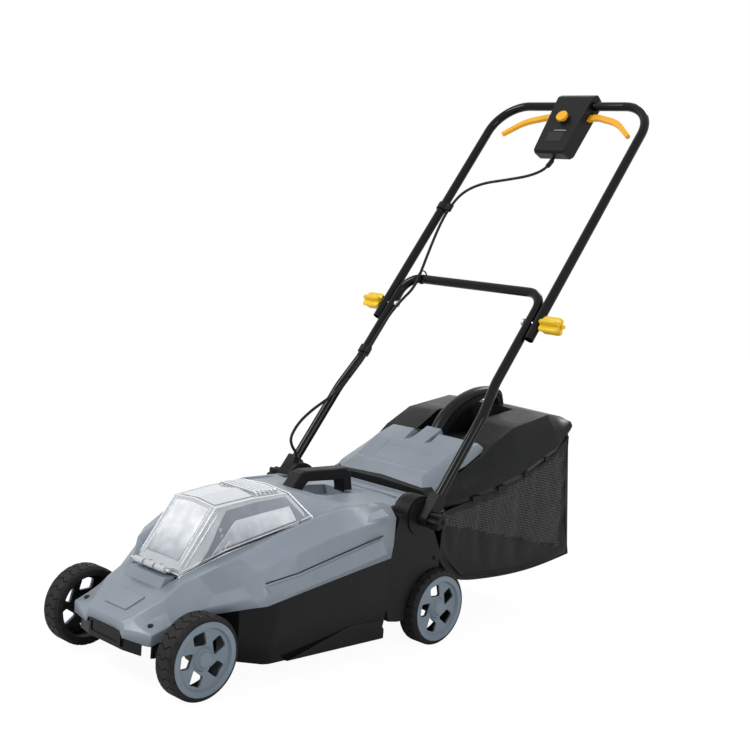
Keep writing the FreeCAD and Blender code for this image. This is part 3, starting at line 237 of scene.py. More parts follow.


# %% [markdown]
# ## The control cable
#
# One black cable, 6 mm thick, runs from the switch box down the left side tube to the deck. It hangs
# in a lazy curve below the box, passes through a clip, crosses the crossbar, follows the lower tube
# through a second clip and makes a loop to the gland on the deck. It crosses two folding joints, so
# it is made as three lengths.

# %% Cable routes
CABLE_DIAMETER = 0.006
UPPER_ROUTE = [on_handle(*p) for p in (
    (0, .874, -.019), (0, .845, -.019), (-.026, .815, -.013), (-.080, .796, -.008),
    (-.138, .778, -.003), (-.172, .748, 0), (-.181, .705, .001), (-.177, .662, .004),
    (-.166, .616, .008), (-.152, .564, .012), (-.140, .5133, .0132),
)]
LOWER_ROUTE = [on_handle(*p) for p in (
    (-.1399, .5129, .0132), (-.1325, .480, .014), (-.149, .441, .014), (-.163, .400, .009),
    (-.168, .354, .005), (-.1687, .318, .004), (-.170, .282, .004), (-.1745, .246, .0055),
)]
LOOP_ROUTE = [place(*p) for p in (
    (-.1746, .6236, .4476), (-.1784, .6027, .4217), (-.1775, .571, .404), (-.176, .532, .386),
    (-.174, .494, .362), (-.169, .468, .334), (-.163, .468, .316), (-.160, .480, .302),
    (-.160, .480, .2892),
)]


def cable(name, route):
    line = smooth_line(route)
    piece = bar(name + "_cord", line, round_section(CABLE_DIAMETER / 2, 12))
    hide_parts(name)
    return piece


upper_cable = cable("cable_upper", UPPER_ROUTE)
lower_cable = cable("cable_lower", LOWER_ROUTE)
loop_cable = cable("cable_loop", LOOP_ROUTE)
CABLES = [upper_cable, lower_cable, loop_cable]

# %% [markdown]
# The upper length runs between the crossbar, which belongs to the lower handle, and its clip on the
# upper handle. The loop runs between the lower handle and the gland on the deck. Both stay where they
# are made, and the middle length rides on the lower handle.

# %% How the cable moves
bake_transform(upper_cable)
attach(lower_cable, "lower_handle")
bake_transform(loop_cable)

# %% [markdown]
# ## Finishes
#
# A material here is a small graph of nodes. All of them share the same parts: object coordinates in
# millimetres, a soft large noise that shifts the colour a little, a fine noise that gives the
# mould's grain, and a bevel that rounds the last sharp edges for the light. The edge mask comes from
# comparing the bevelled direction with the flat one. It paints edges lighter: partly rubbed wear,
# partly a painted edge highlight.

# %% Node helpers
def new_finish(name):
    finish = bpy.data.materials.new(name)
    finish.use_nodes = True
    nodes = finish.node_tree.nodes
    nodes.clear()
    output = nodes.new("ShaderNodeOutputMaterial")
    shader = nodes.new("ShaderNodeBsdfPrincipled")
    finish.node_tree.links.new(shader.outputs[0], output.inputs["Surface"])
    return finish, shader


def add(finish, kind, **values):
    node = finish.node_tree.nodes.new("ShaderNode" + kind)
    for key, value in values.items():
        if key in node.inputs:
            node.inputs[key].default_value = value
        else:
            setattr(node, key, value)
    return node


def join(finish, start, end):
    finish.node_tree.links.new(start, end)


def worked(finish, operation, *values):
    """The result of one operation on sockets and plain numbers."""
    node = add(finish, "Math", operation=operation)
    for value, socket in zip(values, node.inputs):
        if isinstance(value, (int, float)):
            socket.default_value = value
        else:
            join(finish, value, socket)
    return node.outputs[0]


def parted(finish, vector=None):
    """The X, Y and Z of a vector, or of the object coordinates."""
    split = add(finish, "SeparateXYZ")
    if vector is None:
        vector = add(finish, "TexCoord").outputs["Object"]
    join(finish, vector, split.inputs[0])
    return split.outputs


def shader_of(finish):
    return next(n for n in finish.node_tree.nodes if n.type == "BSDF_PRINCIPLED")


def millimetres(finish, stretch=(1, 1, 1)):
    """Object coordinates, in millimetres."""
    coordinates = add(finish, "TexCoord")
    scale = add(finish, "VectorMath", operation="MULTIPLY")
    scale.inputs[1].default_value = [1000 * s for s in stretch]
    join(finish, coordinates.outputs["Object"], scale.inputs[0])
    return scale.outputs[0]


def noise(finish, where, size, detail=3.0, roughness=0.55):
    """Cloudy noise whose lumps are about `size` millimetres across."""
    node = add(finish, "TexNoise", Scale=1.0 / size, Detail=detail, Roughness=roughness)
    join(finish, where, node.inputs["Vector"])
    return node.outputs["Fac"]


def between(finish, value, low, high, to_low, to_high):
    node = add(finish, "MapRange")
    for key, number in (("From Min", low), ("From Max", high), ("To Min", to_low), ("To Max", to_high)):
        node.inputs[key].default_value = number
    join(finish, value, node.inputs["Value"])
    return node.outputs["Result"]


def mixed(finish, amount, first, second):
    """A colour between two, each a tuple or a socket."""
    node = add(finish, "Mix", data_type="RGBA")
    join(finish, amount, node.inputs["Factor"])
    for value, socket in ((first, node.inputs[6]), (second, node.inputs[7])):
        if isinstance(value, tuple):
            socket.default_value = (*value, 1.0)
        else:
            join(finish, value, socket)
    return node.outputs[2]


def edge_mask(finish, radius):
    """The bevelled direction of the surface, and how near a sharp edge it is."""
    bevel = add(finish, "Bevel", samples=4, Radius=radius / 1000)
    flat = add(finish, "NewGeometry")
    dot = add(finish, "VectorMath", operation="DOT_PRODUCT")
    join(finish, bevel.outputs["Normal"], dot.inputs[0])
    join(finish, flat.outputs["Normal"], dot.inputs[1])
    return bevel.outputs["Normal"], between(finish, dot.outputs["Value"], 0.99, 0.86, 0.0, 1.0)


def grained(finish, shader, where, direction, size, depth):
    """Fine bumps of the mould's grain over a direction."""
    bump = add(finish, "Bump", Strength=1.0, Distance=depth / 1000)
    join(finish, noise(finish, where, size, 2.0), bump.inputs["Height"])
    if direction is not None:
        join(finish, direction, bump.inputs["Normal"])
    join(finish, bump.outputs["Normal"], shader.inputs["Normal"])


def shaded(colour, factor):
    return tuple(min(c * factor, 1.0) for c in colour)


def moulded(name, colour, roughness, grain=0.6, depth=0.02, edge=0.9, worn=1.35, coat=0.0, gloss=0.4):
    """Moulded plastic: slight colour drift, mould grain, rounded edges painted lighter, partly rubbed wear and
    partly a painted edge highlight.
    """
    finish, shader = new_finish(name)
    where = millimetres(finish)
    direction, near_edge = edge_mask(finish, edge)
    cloud = between(finish, noise(finish, where, 60), 0.3, 0.7, 0.0, 1.0)
    body = mixed(finish, cloud, shaded(colour, 0.94), shaded(colour, 1.06))
    handled = between(finish, noise(finish, where, 9), 0.35, 0.65, 0.2, 0.7)
    # Edges are painted lighter in patches: partly rubbed wear, partly a painted edge highlight.
    wear_and_highlight_mask = worked(finish, "MULTIPLY", near_edge, handled)
    join(finish, mixed(finish, wear_and_highlight_mask, body, shaded(colour, worn)), shader.inputs["Base Color"])
    patches = between(finish, noise(finish, where, 22), 0.3, 0.7, roughness - 0.05, roughness + 0.06)
    join(finish, patches, shader.inputs["Roughness"])
    shader.inputs["Specular IOR Level"].default_value = gloss
    shader.inputs["Coat Weight"].default_value = coat
    shader.inputs["Coat Roughness"].default_value = 0.12
    grained(finish, shader, where, direction, grain, depth)
    return finish


# %% [markdown]
# Nine plastics differ only in colour, gloss and grain: the blue-grey body, the black deck, satin
# black fittings, the dark lid, the yellow clamp knobs, the orange switch parts, the battery's tray and
# case, and the sleeves of its cells.

# %% Plastics
BODY_GREY = (0.215, 0.247, 0.285)
FINISHES = {
    "body_grey": moulded("body_grey", BODY_GREY, 0.38, grain=0.8, depth=0.012),
    "deck_black": moulded("deck_black", (0.006, 0.006, 0.0065), 0.22, grain=3.0, depth=0.01, worn=2.0,
                          coat=0.08, gloss=0.12),
    "satin_black": moulded("satin_black", (0.009, 0.009, 0.0095), 0.40, grain=0.7, depth=0.03, worn=2.2,
                           gloss=0.14),
    "lid_plastic": moulded("lid_plastic", (0.011, 0.0115, 0.012), 0.30, grain=0.9, depth=0.02, worn=1.8,
                           gloss=0.12),
    "signal_yellow": moulded("signal_yellow", (0.80, 0.52, 0.012), 0.34, depth=0.01, worn=1.15),
    "switch_orange": moulded("switch_orange", (0.90, 0.42, 0.010), 0.36, depth=0.01, worn=1.12),
    "tray_grey": moulded("tray_grey", (0.36, 0.40, 0.45), 0.45, depth=0.02),
    "battery_grey": moulded("battery_grey", (0.42, 0.45, 0.49), 0.45, depth=0.02),
    "cell_sleeve": moulded("cell_sleeve", (0.05, 0.16, 0.30), 0.30, depth=0.005),
}
print("plastics", len(FINISHES))

# %% [markdown]
# ## Wheels
#
# The tread is dull rubber with dust in its low places. The wheel behind it is a black core with a
# blue-grey face, moulded as one here, so its finish changes with how far out along the axle the
# surface lies: grey on the outer 9 mm, black behind.

# %% Rubber and rims
def rubber(name, colour, roughness, grain, depth):
    finish, shader = new_finish(name)
    where = millimetres(finish)
    direction, near_edge = edge_mask(finish, 0.7)
    dust = between(finish, noise(finish, where, 14, 5.0), 0.42, 0.72, 0.0, 0.55)
    dusty = mixed(finish, dust, colour, shaded(colour, 2.6))
    # Edges are painted lighter: partly wear, partly a painted edge highlight.
    join(finish, mixed(finish, near_edge, dusty, shaded(colour, 3.4)), shader.inputs["Base Color"])
    join(finish, between(finish, dust, 0.0, 0.55, roughness, roughness + 0.15), shader.inputs["Roughness"])
    shader.inputs["Specular IOR Level"].default_value = 0.15
    grained(finish, shader, where, direction, grain, depth)
    return finish


def two_tone_rim(name, side, face_x):
    """Grey outside face_x, black behind it, on the wheel at that side."""
    finish = moulded(name, (0.165, 0.205, 0.245), 0.36, depth=0.012, edge=0.8, worn=1.5)
    shader = shader_of(finish)
    grey = shader.inputs["Base Color"].links[0].from_socket
    outside = between(finish, parted(finish)["X"], side * (face_x - 0.0004), side * face_x, 0.0, 1.0)
    join(finish, mixed(finish, outside, (0.012, 0.012, 0.013), grey), shader.inputs["Base Color"])
    return finish


FINISHES["tyre_black"] = rubber("tyre_black", (0.014, 0.0135, 0.0135), 0.62, 0.8, 0.05)
FINISHES["cable_black"] = rubber("cable_black", (0.010, 0.010, 0.011), 0.34, 1.2, 0.01)
FACE_DEPTH = 0.009
for end in ("front", "rear"):
    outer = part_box(f"{end}_right_rim")[1].x
    for side_name, side in SIDES:
        FINISHES[f"rim_{end}_{side_name}"] = two_tone_rim(f"rim_{end}_{side_name}", side, outer - FACE_DEPTH)
print("rims split", FACE_DEPTH * 1000, "mm behind their face")

# %% [markdown]
# ## Metal
#
# The handle is steel tube under a gloss powder coat, which has a faint orange-peel skin and a clear
# coat's highlight. Bolts and axles are zinc plated, with a fine spangle. The blade is ground steel:
# its scratches run along it, so its noise is stretched that way.

# %% Metals
def metal(name, colour, roughness, stretch, size, depth):
    finish, shader = new_finish(name)
    where = millimetres(finish, stretch)
    direction, near_edge = edge_mask(finish, 0.4)
    streak = noise(finish, where, size, 4.0)
    tone = mixed(finish, between(finish, streak, 0.3, 0.7, 0.0, 1.0), shaded(colour, 0.8), shaded(colour, 1.15))
    # Edges are painted lighter: partly wear, partly a painted edge highlight.
    join(finish, mixed(finish, near_edge, tone, shaded(colour, 1.4)), shader.inputs["Base Color"])
    shader.inputs["Metallic"].default_value = 1.0
    join(finish, between(finish, streak, 0.3, 0.7, roughness, roughness + 0.16), shader.inputs["Roughness"])
    grained(finish, shader, where, direction, size, depth)
    return finish


def powder_coat():
    finish = moulded("tube_black", (0.004, 0.004, 0.0045), 0.12, grain=2.2, depth=0.012, edge=0.4, worn=2.0,
                     coat=0.25, gloss=0.06)
    shader = shader_of(finish)
    shader.inputs["Coat Roughness"].default_value = 0.05
    return finish


FINISHES["tube_black"] = powder_coat()
FINISHES["zinc_steel"] = metal("zinc_steel", (0.60, 0.60, 0.61), 0.26, (1, 1, 1), 1.6, 0.01)
FINISHES["blade_steel"] = metal("blade_steel", (0.36, 0.37, 0.39), 0.30, (0.04, 1, 1), 0.9, 0.02)
FINISHES["motor_steel"] = metal("motor_steel", (0.34, 0.35, 0.37), 0.38, (1, 1, 0.1), 1.2, 0.02)
print("finishes", len(FINISHES))

# %% [markdown]
# ## Clear battery cover
#
# The cover is clear plastic that has gone milky, so little of the bay below shows. Full glass would
# be too sharp and would show every part inside. Here a third of the light goes through, with a little
# scatter, and a clear coat keeps the bright highlight on top.

# %% Clear plastic
def clear_plastic():
    finish, shader = new_finish("clear_cover")
    where = millimetres(finish)
    near_edge = edge_mask(finish, 1.4)[1]
    cloud = between(finish, noise(finish, where, 35), 0.3, 0.7, 0.0, 1.0)
    tone = mixed(finish, cloud, (0.60, 0.63, 0.66), (0.72, 0.75, 0.78))
    # Edges are painted paler: a painted highlight along the cover's edges.
    join(finish, mixed(finish, near_edge, tone, (0.86, 0.88, 0.90)), shader.inputs["Base Color"])
    haze = between(finish, noise(finish, where, 18), 0.3, 0.7, 0.10, 0.24)
    join(finish, haze, shader.inputs["Roughness"])
    shader.inputs["Transmission Weight"].default_value = 0.30
    shader.inputs["IOR"].default_value = 1.45
    shader.inputs["Coat Weight"].default_value = 0.6
    shader.inputs["Coat Roughness"].default_value = 0.04
    grained(finish, shader, where, None, 1.5, 0.001)
    return finish


FINISHES["clear_cover"] = clear_plastic()

# %% [markdown]
# ## Cloth of the grass box
#
# The bag has two cloths: an open knit above, which lets the air out, and a close coated cloth below,
# which keeps the dust in. The knit is drawn with two crossed waves whose product leaves rows of
# small holes, and its threads are painted lighter as a painted highlight. The coated cloth is a plain
# weave with a dull sheen, and a faint painted highlight on its threads.

# %% Fabrics
def lattice(finish, pitch):
    """Two crossed waves over the cloth: near 1 in a hole, and near -1 on the threads, where the painted
    highlight goes.
    """
    axes = parted(finish)
    turns = 2000 * math.pi / pitch
    waves = []
    for z_share in (0.75, -0.75):
        along = worked(finish, "MULTIPLY", axes["Y"], 0.62 * turns)
        sideways = worked(finish, "MULTIPLY_ADD", axes["X"], 0.62 * turns, along)
        total = worked(finish, "MULTIPLY_ADD", axes["Z"], z_share * turns, sideways)
        waves.append(worked(finish, "SINE", total))
    return worked(finish, "MULTIPLY", *waves)


def cloth(name, colour, thread_highlight_colour, pitch, roughness, holes):
    finish, shader = new_finish(name)
    where = millimetres(finish)
    weave = lattice(finish, pitch)
    drift = between(finish, noise(finish, where, 40), 0.3, 0.7, 0.0, 1.0)
    base = mixed(finish, drift, shaded(colour, 0.8), shaded(colour, 1.25))
    # Where the lattice is near -1 the threads are painted lighter: a painted highlight.
    thread_highlight_mask = between(finish, weave, -0.45, -0.85, 0.0, 1.0)
    join(finish, mixed(finish, thread_highlight_mask, base, thread_highlight_colour), shader.inputs["Base Color"])
    shader.inputs["Roughness"].default_value = roughness
    shader.inputs["Specular IOR Level"].default_value = 0.15
    shader.inputs["Sheen Weight"].default_value = 0.08
    shader.inputs["Sheen Roughness"].default_value = 0.4
    if holes:
        join(finish, between(finish, weave, 0.62, 0.75, 1.0, 0.0), shader.inputs["Alpha"])
    bump = add(finish, "Bump", Strength=1.0, Distance=0.0002)
    join(finish, weave, bump.inputs["Height"])
    join(finish, bump.outputs["Normal"], shader.inputs["Normal"])
    return finish


FINISHES["bag_knit"] = cloth("bag_knit", (0.010, 0.010, 0.011), (0.21, 0.21, 0.215), 5.2, 0.6, True)
FINISHES["bag_fabric"] = cloth("bag_fabric", (0.007, 0.007, 0.0075), (0.013, 0.013, 0.014), 1.6, 0.5, False)
print("cloths made")

# %% [markdown]
# ## Rounding the CAD's edges
#
# Moulded covers have no knife edges. Where the CAD's shape is right and only its edges are sharp, a
# copy of the piece takes its place: its flat faces are merged, and a bevel rounds every edge that
# turns by more than a small angle. The copy rides on the same body and stands for the CAD piece.

# %% Rounded copies
SLOT_OF = {row["node"]: row["material_slot"] for row in frame["record"]["subparts"]}
BODY_OF = {node: body for body, members in frame["record"]["behaviour"]["bodies"].items() for node in members}


def finish_of(node):
    if node.endswith("_rim") or node.endswith("_hub_cap"):
        return FINISHES["rim_" + node.replace("_rim", "").replace("_hub_cap", "")]
    # The hood's screws are given satin black as painted shade: they stand for the dark recesses they sit in.
    if node in ("grass_box_frame", "body_screws"):
        return FINISHES["satin_black"]
    return FINISHES[SLOT_OF[node]]


def merged_copy(node, name):
    """The CAD piece's mesh with its flat faces merged, as a new object."""
    work = bmesh.new()
    work.from_mesh(frame["nodes"][node].data)
    bmesh.ops.remove_doubles(work, verts=work.verts, dist=2e-5)
    bmesh.ops.dissolve_limit(work, angle_limit=math.radians(0.8), verts=work.verts, edges=work.edges)
    work.verts.index_update()
    corners = [v.co.copy() for v in work.verts]
    faces = [tuple(v.index for v in f.verts) for f in work.faces]
    work.free()
    return made(name, corners, faces)


def rounded_edges(piece, width, turn=24):
    bevel = piece.modifiers.new("Rounded edges", "BEVEL")
    bevel.width = width
    bevel.segments = 2
    bevel.limit_method = "ANGLE"
    bevel.angle_limit = math.radians(turn)
    bevel.harden_normals = True
    piece.data.set_sharp_from_angle(angle=math.radians(40))


def attached(piece, body, slot, finish=None):
    piece.data.materials.append(finish or FINISHES[slot])
    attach(piece, body)
    return piece


def rounded_copy(node, width):
    piece = merged_copy(node, node + "_rounded")
    rounded_edges(piece, width)
    attached(piece, BODY_OF[node], SLOT_OF[node], finish_of(node))
    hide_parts(node)
    return piece


ROUNDED = {
    "name_plate": 0.0009, "deck_shell": 0.0012, "side_panels": 0.0012,
    "grass_box_lid": 0.0014, "carry_handle": 0.0035, "switch_box_base": 0.0016,
    "switch_box_top": 0.0016, "left_switch_lever": 0.0018, "right_switch_lever": 0.0018,
    "handle_collars": 0.0012, "upper_cable_clip": 0.0008, "lower_cable_clip": 0.0008,
    "battery_cover": 0.0012, "safety_button": 0.0012,
}
for node, width in ROUNDED.items():
    print(node, "faces", len(rounded_copy(node, width).data.polygons))

# %% [markdown]
# ## Faceted skin of the hood
#
# The real hood is a wedge of nearly flat faces with crisp creases between them: a sloping nose, a
# flank that leans back over the front wheel, a corner where the flank meets the side, and a long
# shoulder. A loft rounds such creases away. So the skin is built as one sheet of quads whose rows are
# written down corner by corner, low edge first, and a bevel softens each crease a little.

# %% Rows of the hood's skin
# Each row runs from the low edge to the middle: low edge, wall, waist crease, shoulder, surround, inner,
# centre. Places are in millimetres from the front axle and the ground.
NOSE_ROWS = [
    [(50, -68.5, 80), (50, -68.5, 83), (47, -68.6, 87), (44, -68.6, 91), (30, -68.6, 92), (15, -68.6, 92),
     (0, -68.6, 92)],
    [(53, -68, 81), (53, -68, 94), (50, -67.5, 100), (46, -66.5, 105), (30, -66.5, 106), (15, -66.5, 106),
     (0, -66.5, 106)],
    [(107, -54, 79), (108, -54, 98), (76, -54, 103), (54, -56, 111.5), (34, -56, 112), (16, -56, 112),
     (0, -56, 112)],
    [(110, -30, 88), (111, -30, 106), (81, -30, 115), (67, -30, 129), (40, -30, 129), (18, -30, 129),
     (0, -30, 129)],
    [(112, -12, 96), (113, -16, 110), (94, -14, 125), (79, -9, 143), (46, -8, 143.2), (20, -8, 143.2),
     (0, -8, 143.2)],
    [(116, 20, 110), (117, 16, 124), (110, 29, 141), (78, 27, 164), (56, 20, 162), (26, 3, 150.5),
     (0, 3, 150.5)],
]
FLANK_ROWS = [
    [(119, 36, 118), (124, 38, 132), (119, 59, 149), (88, 48, 174), (63, 33, 171)],
    [(182, 106, 139), (166, 100, 151.5), (142, 95, 164), (112, 71, 194), (76, 62, 187)],
    [(186.5, 118, 140), (175, 116, 158.5), (161, 118, 191), (119, 105, 206), (92.5, 102, 207)],
    [(186.5, 180, 149.5), (186, 180, 176), (179, 180, 216), (131, 180, 238), (112, 180, 233)],
    [(186.5, 258, 161.3), (186, 258, 188), (177, 258, 232), (138, 258, 261), (132.5, 258, 259.5)],
    [(186.5, 330, 172.2), (186, 330, 200), (177, 330, 243), (140, 328, 270.5), (126, 326, 271.5)],
    [(186, 403, 182), (185, 408, 206), (175, 420, 251), (150, 428, 267.5), (128, 430, 268.5)],
]


def flank_row(row, side):
    return [place(side * x / 1000, y / 1000, z / 1000) for x, y, z in row]


def creased(piece, width, thickness, turn):
    """Welded, given a wall, and softened along every crease."""
    faced_outward(piece, weld=1e-5)
    bevel = piece.modifiers.new("Soft creases", "BEVEL")
    bevel.width = width
    bevel.segments = 3
    bevel.limit_method = "ANGLE"
    bevel.angle_limit = math.radians(turn)
    wall = piece.modifiers.new("Wall", "SOLIDIFY")
    wall.thickness = thickness
    wall.offset = -1
    piece.data.set_sharp_from_angle(angle=math.radians(14))
    return piece


def two_sided(name, grids, width, thickness, turn=9):
    """One skin over both sides, from grids of places written for the right side."""
    corners, faces = [], []
    for side in (-1, 1):
        for rows in grids:
            start = len(corners)
            for row in rows:
                corners.extend(flank_row(row, side))
            for face in grid_faces(len(rows), len(rows[0]), side < 0):
                faces.append(tuple(start + k for k in face))
    skin = creased(made(name, corners, faces), width, thickness, turn)
    if sum(f.normal.z * f.area for f in skin.data.polygons) < 0:
        skin.data.flip_normals()
    return skin


HOOD_CREASE, HOOD_WALL = 0.0022, 0.0026
hood_skin = two_sided("hood_skin", [NOSE_ROWS, [NOSE_ROWS[-1][:5]] + FLANK_ROWS], HOOD_CREASE, HOOD_WALL)
attached(hood_skin, "chassis", "body_grey")

# %% Tail of the hood
SKIN_END = 0.236


def hood_tail():
    """The part of the hood behind the bay, from the CAD, cut off where the skin takes over."""
    piece = merged_copy("hood_cover", "hood_tail")
    work = bmesh.new()
    work.from_mesh(piece.data)
    geometry = work.verts[:] + work.edges[:] + work.faces[:]
    bmesh.ops.bisect_plane(work, geom=geometry, plane_co=place(0, SKIN_END, 0), plane_no=(0, -1, 0),
                           clear_outer=True, clear_inner=False)
    work.to_mesh(piece.data)
    work.free()
    rounded_edges(piece, 0.0012)
    attached(piece, "chassis", "body_grey")
    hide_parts("hood_cover")
    return piece


print("hood skin faces", len(hood_skin.data.polygons), "tail faces", len(hood_tail().data.polygons))

# %% [markdown]
# A light ledge stands out from each side, cut to a slanted panel, with a thin black bead along its
# upper edge as painted shade for the shadow line there. Below the cover's hinge sits a small seat with
# a sloping front, and a clear barrel turns above it.

# %% Ledges
# The outline runs round the ledge, in metres from the front axle and the ground.
LEDGE = [Vector(p) / 1000 for p in (
    (118, 170), (180, 182.4), (379, 222), (391, 191), (180, 153.4), (130, 144.5),
)]
# The outline bends at its second and fifth corners, so the face and the foot are two quads each.
LEDGE_FACES = [(6, 7, 10, 11), (7, 8, 9, 10), (5, 4, 1, 0), (4, 3, 2, 1)]
CHAMFER = 0.0030


def ledge_wall(y):
    """How far out the side wall lies: it draws in toward the front."""
    return 0.1835 - 0.0115 * max(0.180 - y, 0) / 0.064


def drawn_in(outline, amount):
    """The outline with every side moved inward."""
    middle = sum(outline, Vector((0, 0))) / len(outline)
    inner = []
    for i, point in enumerate(outline):
        before = (point - outline[i - 1]).normalized()
        after = (outline[(i + 1) % len(outline)] - point).normalized()
        inward = Vector((-(before.y + after.y), before.x + after.x)).normalized()
        if inward.dot(middle - point) < 0:
            inward = -inward
        inner.append(point + inward * amount / max(abs(inward.dot(Vector((-after.y, after.x)))), 0.4))
    return inner


def ledge(name, side):
    """The foot lies in the wall. The face leans in toward its upper edge."""
    foot = [place(side * (ledge_wall(p.x) - 0.002), p.x, p.y) for p in LEDGE]
    face = [place(side * (ledge_wall(p.x) + 0.009 - 0.0055 * (p.y - 0.141 - (p.x - 0.110) * 0.178) / 0.026),
                  p.x, p.y) for p in drawn_in(LEDGE, CHAMFER)]
    piece = made(name, foot + face, LEDGE_FACES + ring_faces(2, len(LEDGE)))
    faced_outward(piece)
    rounded_edges(piece, 0.0006, 10)
    return attached(piece, "chassis", "body_grey")


for side_name, side in SIDES:
    ledge("hood_ledge_" + side_name, side)
    # The thin satin black bead along the ledge's upper edge is painted shade: the shadow line above the ledge.
    shadow_bead_line = [place(side * (ledge_wall(y) + 0.0006), y, 0.1497 + 0.199 * y) for y in (0.121, 0.180, 0.379)]
    shadow_bead = bar("ledge_groove_" + side_name, shadow_bead_line, round_section(0.0011, 8))
    attached(shadow_bead, "chassis", "body_grey", FINISHES["satin_black"])


# %% Seat of the cover's hinge
def hinge_seat():
    """A low bar with a sloping front, drawn as a section in millimetres."""
    outline = [(1, 149), (10, 166.5), (29, 167.5), (35, 160), (35, 149)]
    line = [place(x, 0, 0) for x in (-0.050, 0.050)]
    ways = [(Vector((0, 1, 0)), Vector((0, 0, 1)))] * 2
    seat = bar("hinge_seat", line, [(y / 1000, z / 1000) for y, z in outline], ways)
    rounded_edges(seat, 0.0018, 20)
    return attached(seat, "chassis", "body_grey")


print("hinge seat", [round(v, 3) for v in hinge_seat().dimensions])

# %% [markdown]
# ## Rear flap
#
# The flap over the grass box's mouth is a shallow folded tray: a front wall that leans back, a sloping
# top with a sunken panel, two sloping cheeks, and a raised rear edge with two notches that clear the
# box's handle. One grid of quads makes it. A small rule gives each corner its height, so that the
# sunken panel and the notches are shapes and not paint.

# %% Shape of the flap
FLAP_COLUMNS = [0, 19, 22, 31, 34, 60, 64, 95]
FLAP_TOP_ROWS = [569, 582, 587, 638, 643, 652]
SUNK = 3.5


def flap_top(x, y):
    """Height of the flap's sloping top, sunk inside its panel, in millimetres."""
    level = 297 + 0.545 * (y - 569)
    inside = x <= 61 + (638 - y) * 0.15 and 586 <= y <= 639
    return level - (SUNK if inside else 0)


def flap_half_rows():
    """Rows of (x, y, z) for the right half, from the hinge to the raised rear edge."""
    widths = FLAP_COLUMNS
    rows = [[(x * 1.30, 518.5, 258) for x in widths] + [(134, 517, 258)]]
    rows.append([(x * 1.27, 547, 264) for x in widths] + [(133.5, 552, 264)])
    cheek = {569: (580, 288), 582: (592, 294), 587: (597, 296), 638: (640, 315), 643: (646, 316.5),
             652: (655, 319)}
    for y in FLAP_TOP_ROWS:
        spread = 1 + (y - 569) * 0.0012
        low_y, low_z = cheek[y]
        rows.append([(x * (spread if x > 64 else 1), y, flap_top(x, y)) for x in widths]
                    + [(131.5, low_y, low_z)])
    ridge = {0: (704, 369), 19: (704, 369), 22: (702, 350), 31: (700, 350), 34: (681, 363), 60: (687, 361),
             64: (688, 361), 95: (707, 356)}
    outer = FLAP_COLUMNS[-1]
    spread_x = {x: x * 1.2 if x == outer else x for x in widths}
    rows.append([(spread_x[x], *ridge[x]) for x in widths] + [(129, 712, 347)])
    rows.append([(spread_x[x], ridge[x][0] + 7, ridge[x][1] - 9) for x in widths] + [(129, 713, 342)])
    return rows


FLAP_CREASE, FLAP_WALL = 0.0014, 0.0022
flap_skin = two_sided("rear_flap_skin", [flap_half_rows()], FLAP_CREASE, FLAP_WALL, 12)
attached(flap_skin, "flap", "body_grey")
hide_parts("rear_flap")
print("flap faces", len(flap_skin.data.polygons))

# %% Barrel of the flap's hinge
barrel = bar("flap_barrel", [place(x, .512, .262) for x in (-.134, .134)], round_section(.0056, 20))
rounded_edges(barrel, .0008)
attached(barrel, "flap", "body_grey")

# %% [markdown]
# ## Star knobs
#
# The clamp knobs are small stars with deep valleys between round lobes, so that fingers can turn them.
# A ring whose radius swings between hub and lobe is carried along the bolt's line and drawn in at both
# ends, and the outer face is dished around the bolt's end.

# %% Knobs
def star_knob(node, lobes, valley):
    low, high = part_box(node)
    side = 1 if low.x + high.x > 0 else -1
    seat = Vector((low.x if side > 0 else high.x, (low.y + high.y) / 2, (low.z + high.z) / 2))
    length = high.x - low.x
    radius = (high.z - low.z) / 2 - 0.0002
    steps = lobes * 12
    rings = [(0.0, 0.80), (0.08, 0.95), (0.16, 1.0), (0.82, 1.0), (0.93, 0.95), (1.0, 0.82), (0.985, 0.46),
             (0.90, 0.40)]
    corners = []
    for along, share in rings:
        for k in range(steps):
            angle = 2 * math.pi * k / steps
            lobe = 0.5 + 0.5 * math.cos(lobes * angle)
            swing = valley + (1 - valley) * lobe ** 0.75 if share > 0.5 else 0.62
            reach = radius * share * swing
            corners.append(seat + Vector((side * length * along, reach * math.cos(angle),
                                          reach * math.sin(angle))))
    faces = ring_faces(len(rings), steps)
    faces.append(tuple(range(steps)))
    faces.append(tuple(range((len(rings) - 1) * steps, len(rings) * steps)))
    knob = made(node + "_star", corners, faces)
    faced_outward(knob)
    knob.data.set_sharp_from_angle(angle=math.radians(45))
    attached(knob, BODY_OF[node], SLOT_OF[node])
    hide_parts(node)
    return knob


for side_name in ("left", "right"):
    star_knob(side_name + "_joint_knob", 5, 0.50)
    star_knob(side_name + "_pivot_knob", 6, 0.62)


# %% [markdown]
# ## Lines and windows of the clear cover
#
# The cover is moulded with thick rims. Light runs along them, so they read as bright double lines
# around each face. They are thin bars laid on the ridges, their pale colour a painted highlight. The
# sheets between them carry painted light: a pale painted reflection in front and on top, darker
# painted shade low on the faces, and a band of painted shade around the side windows.

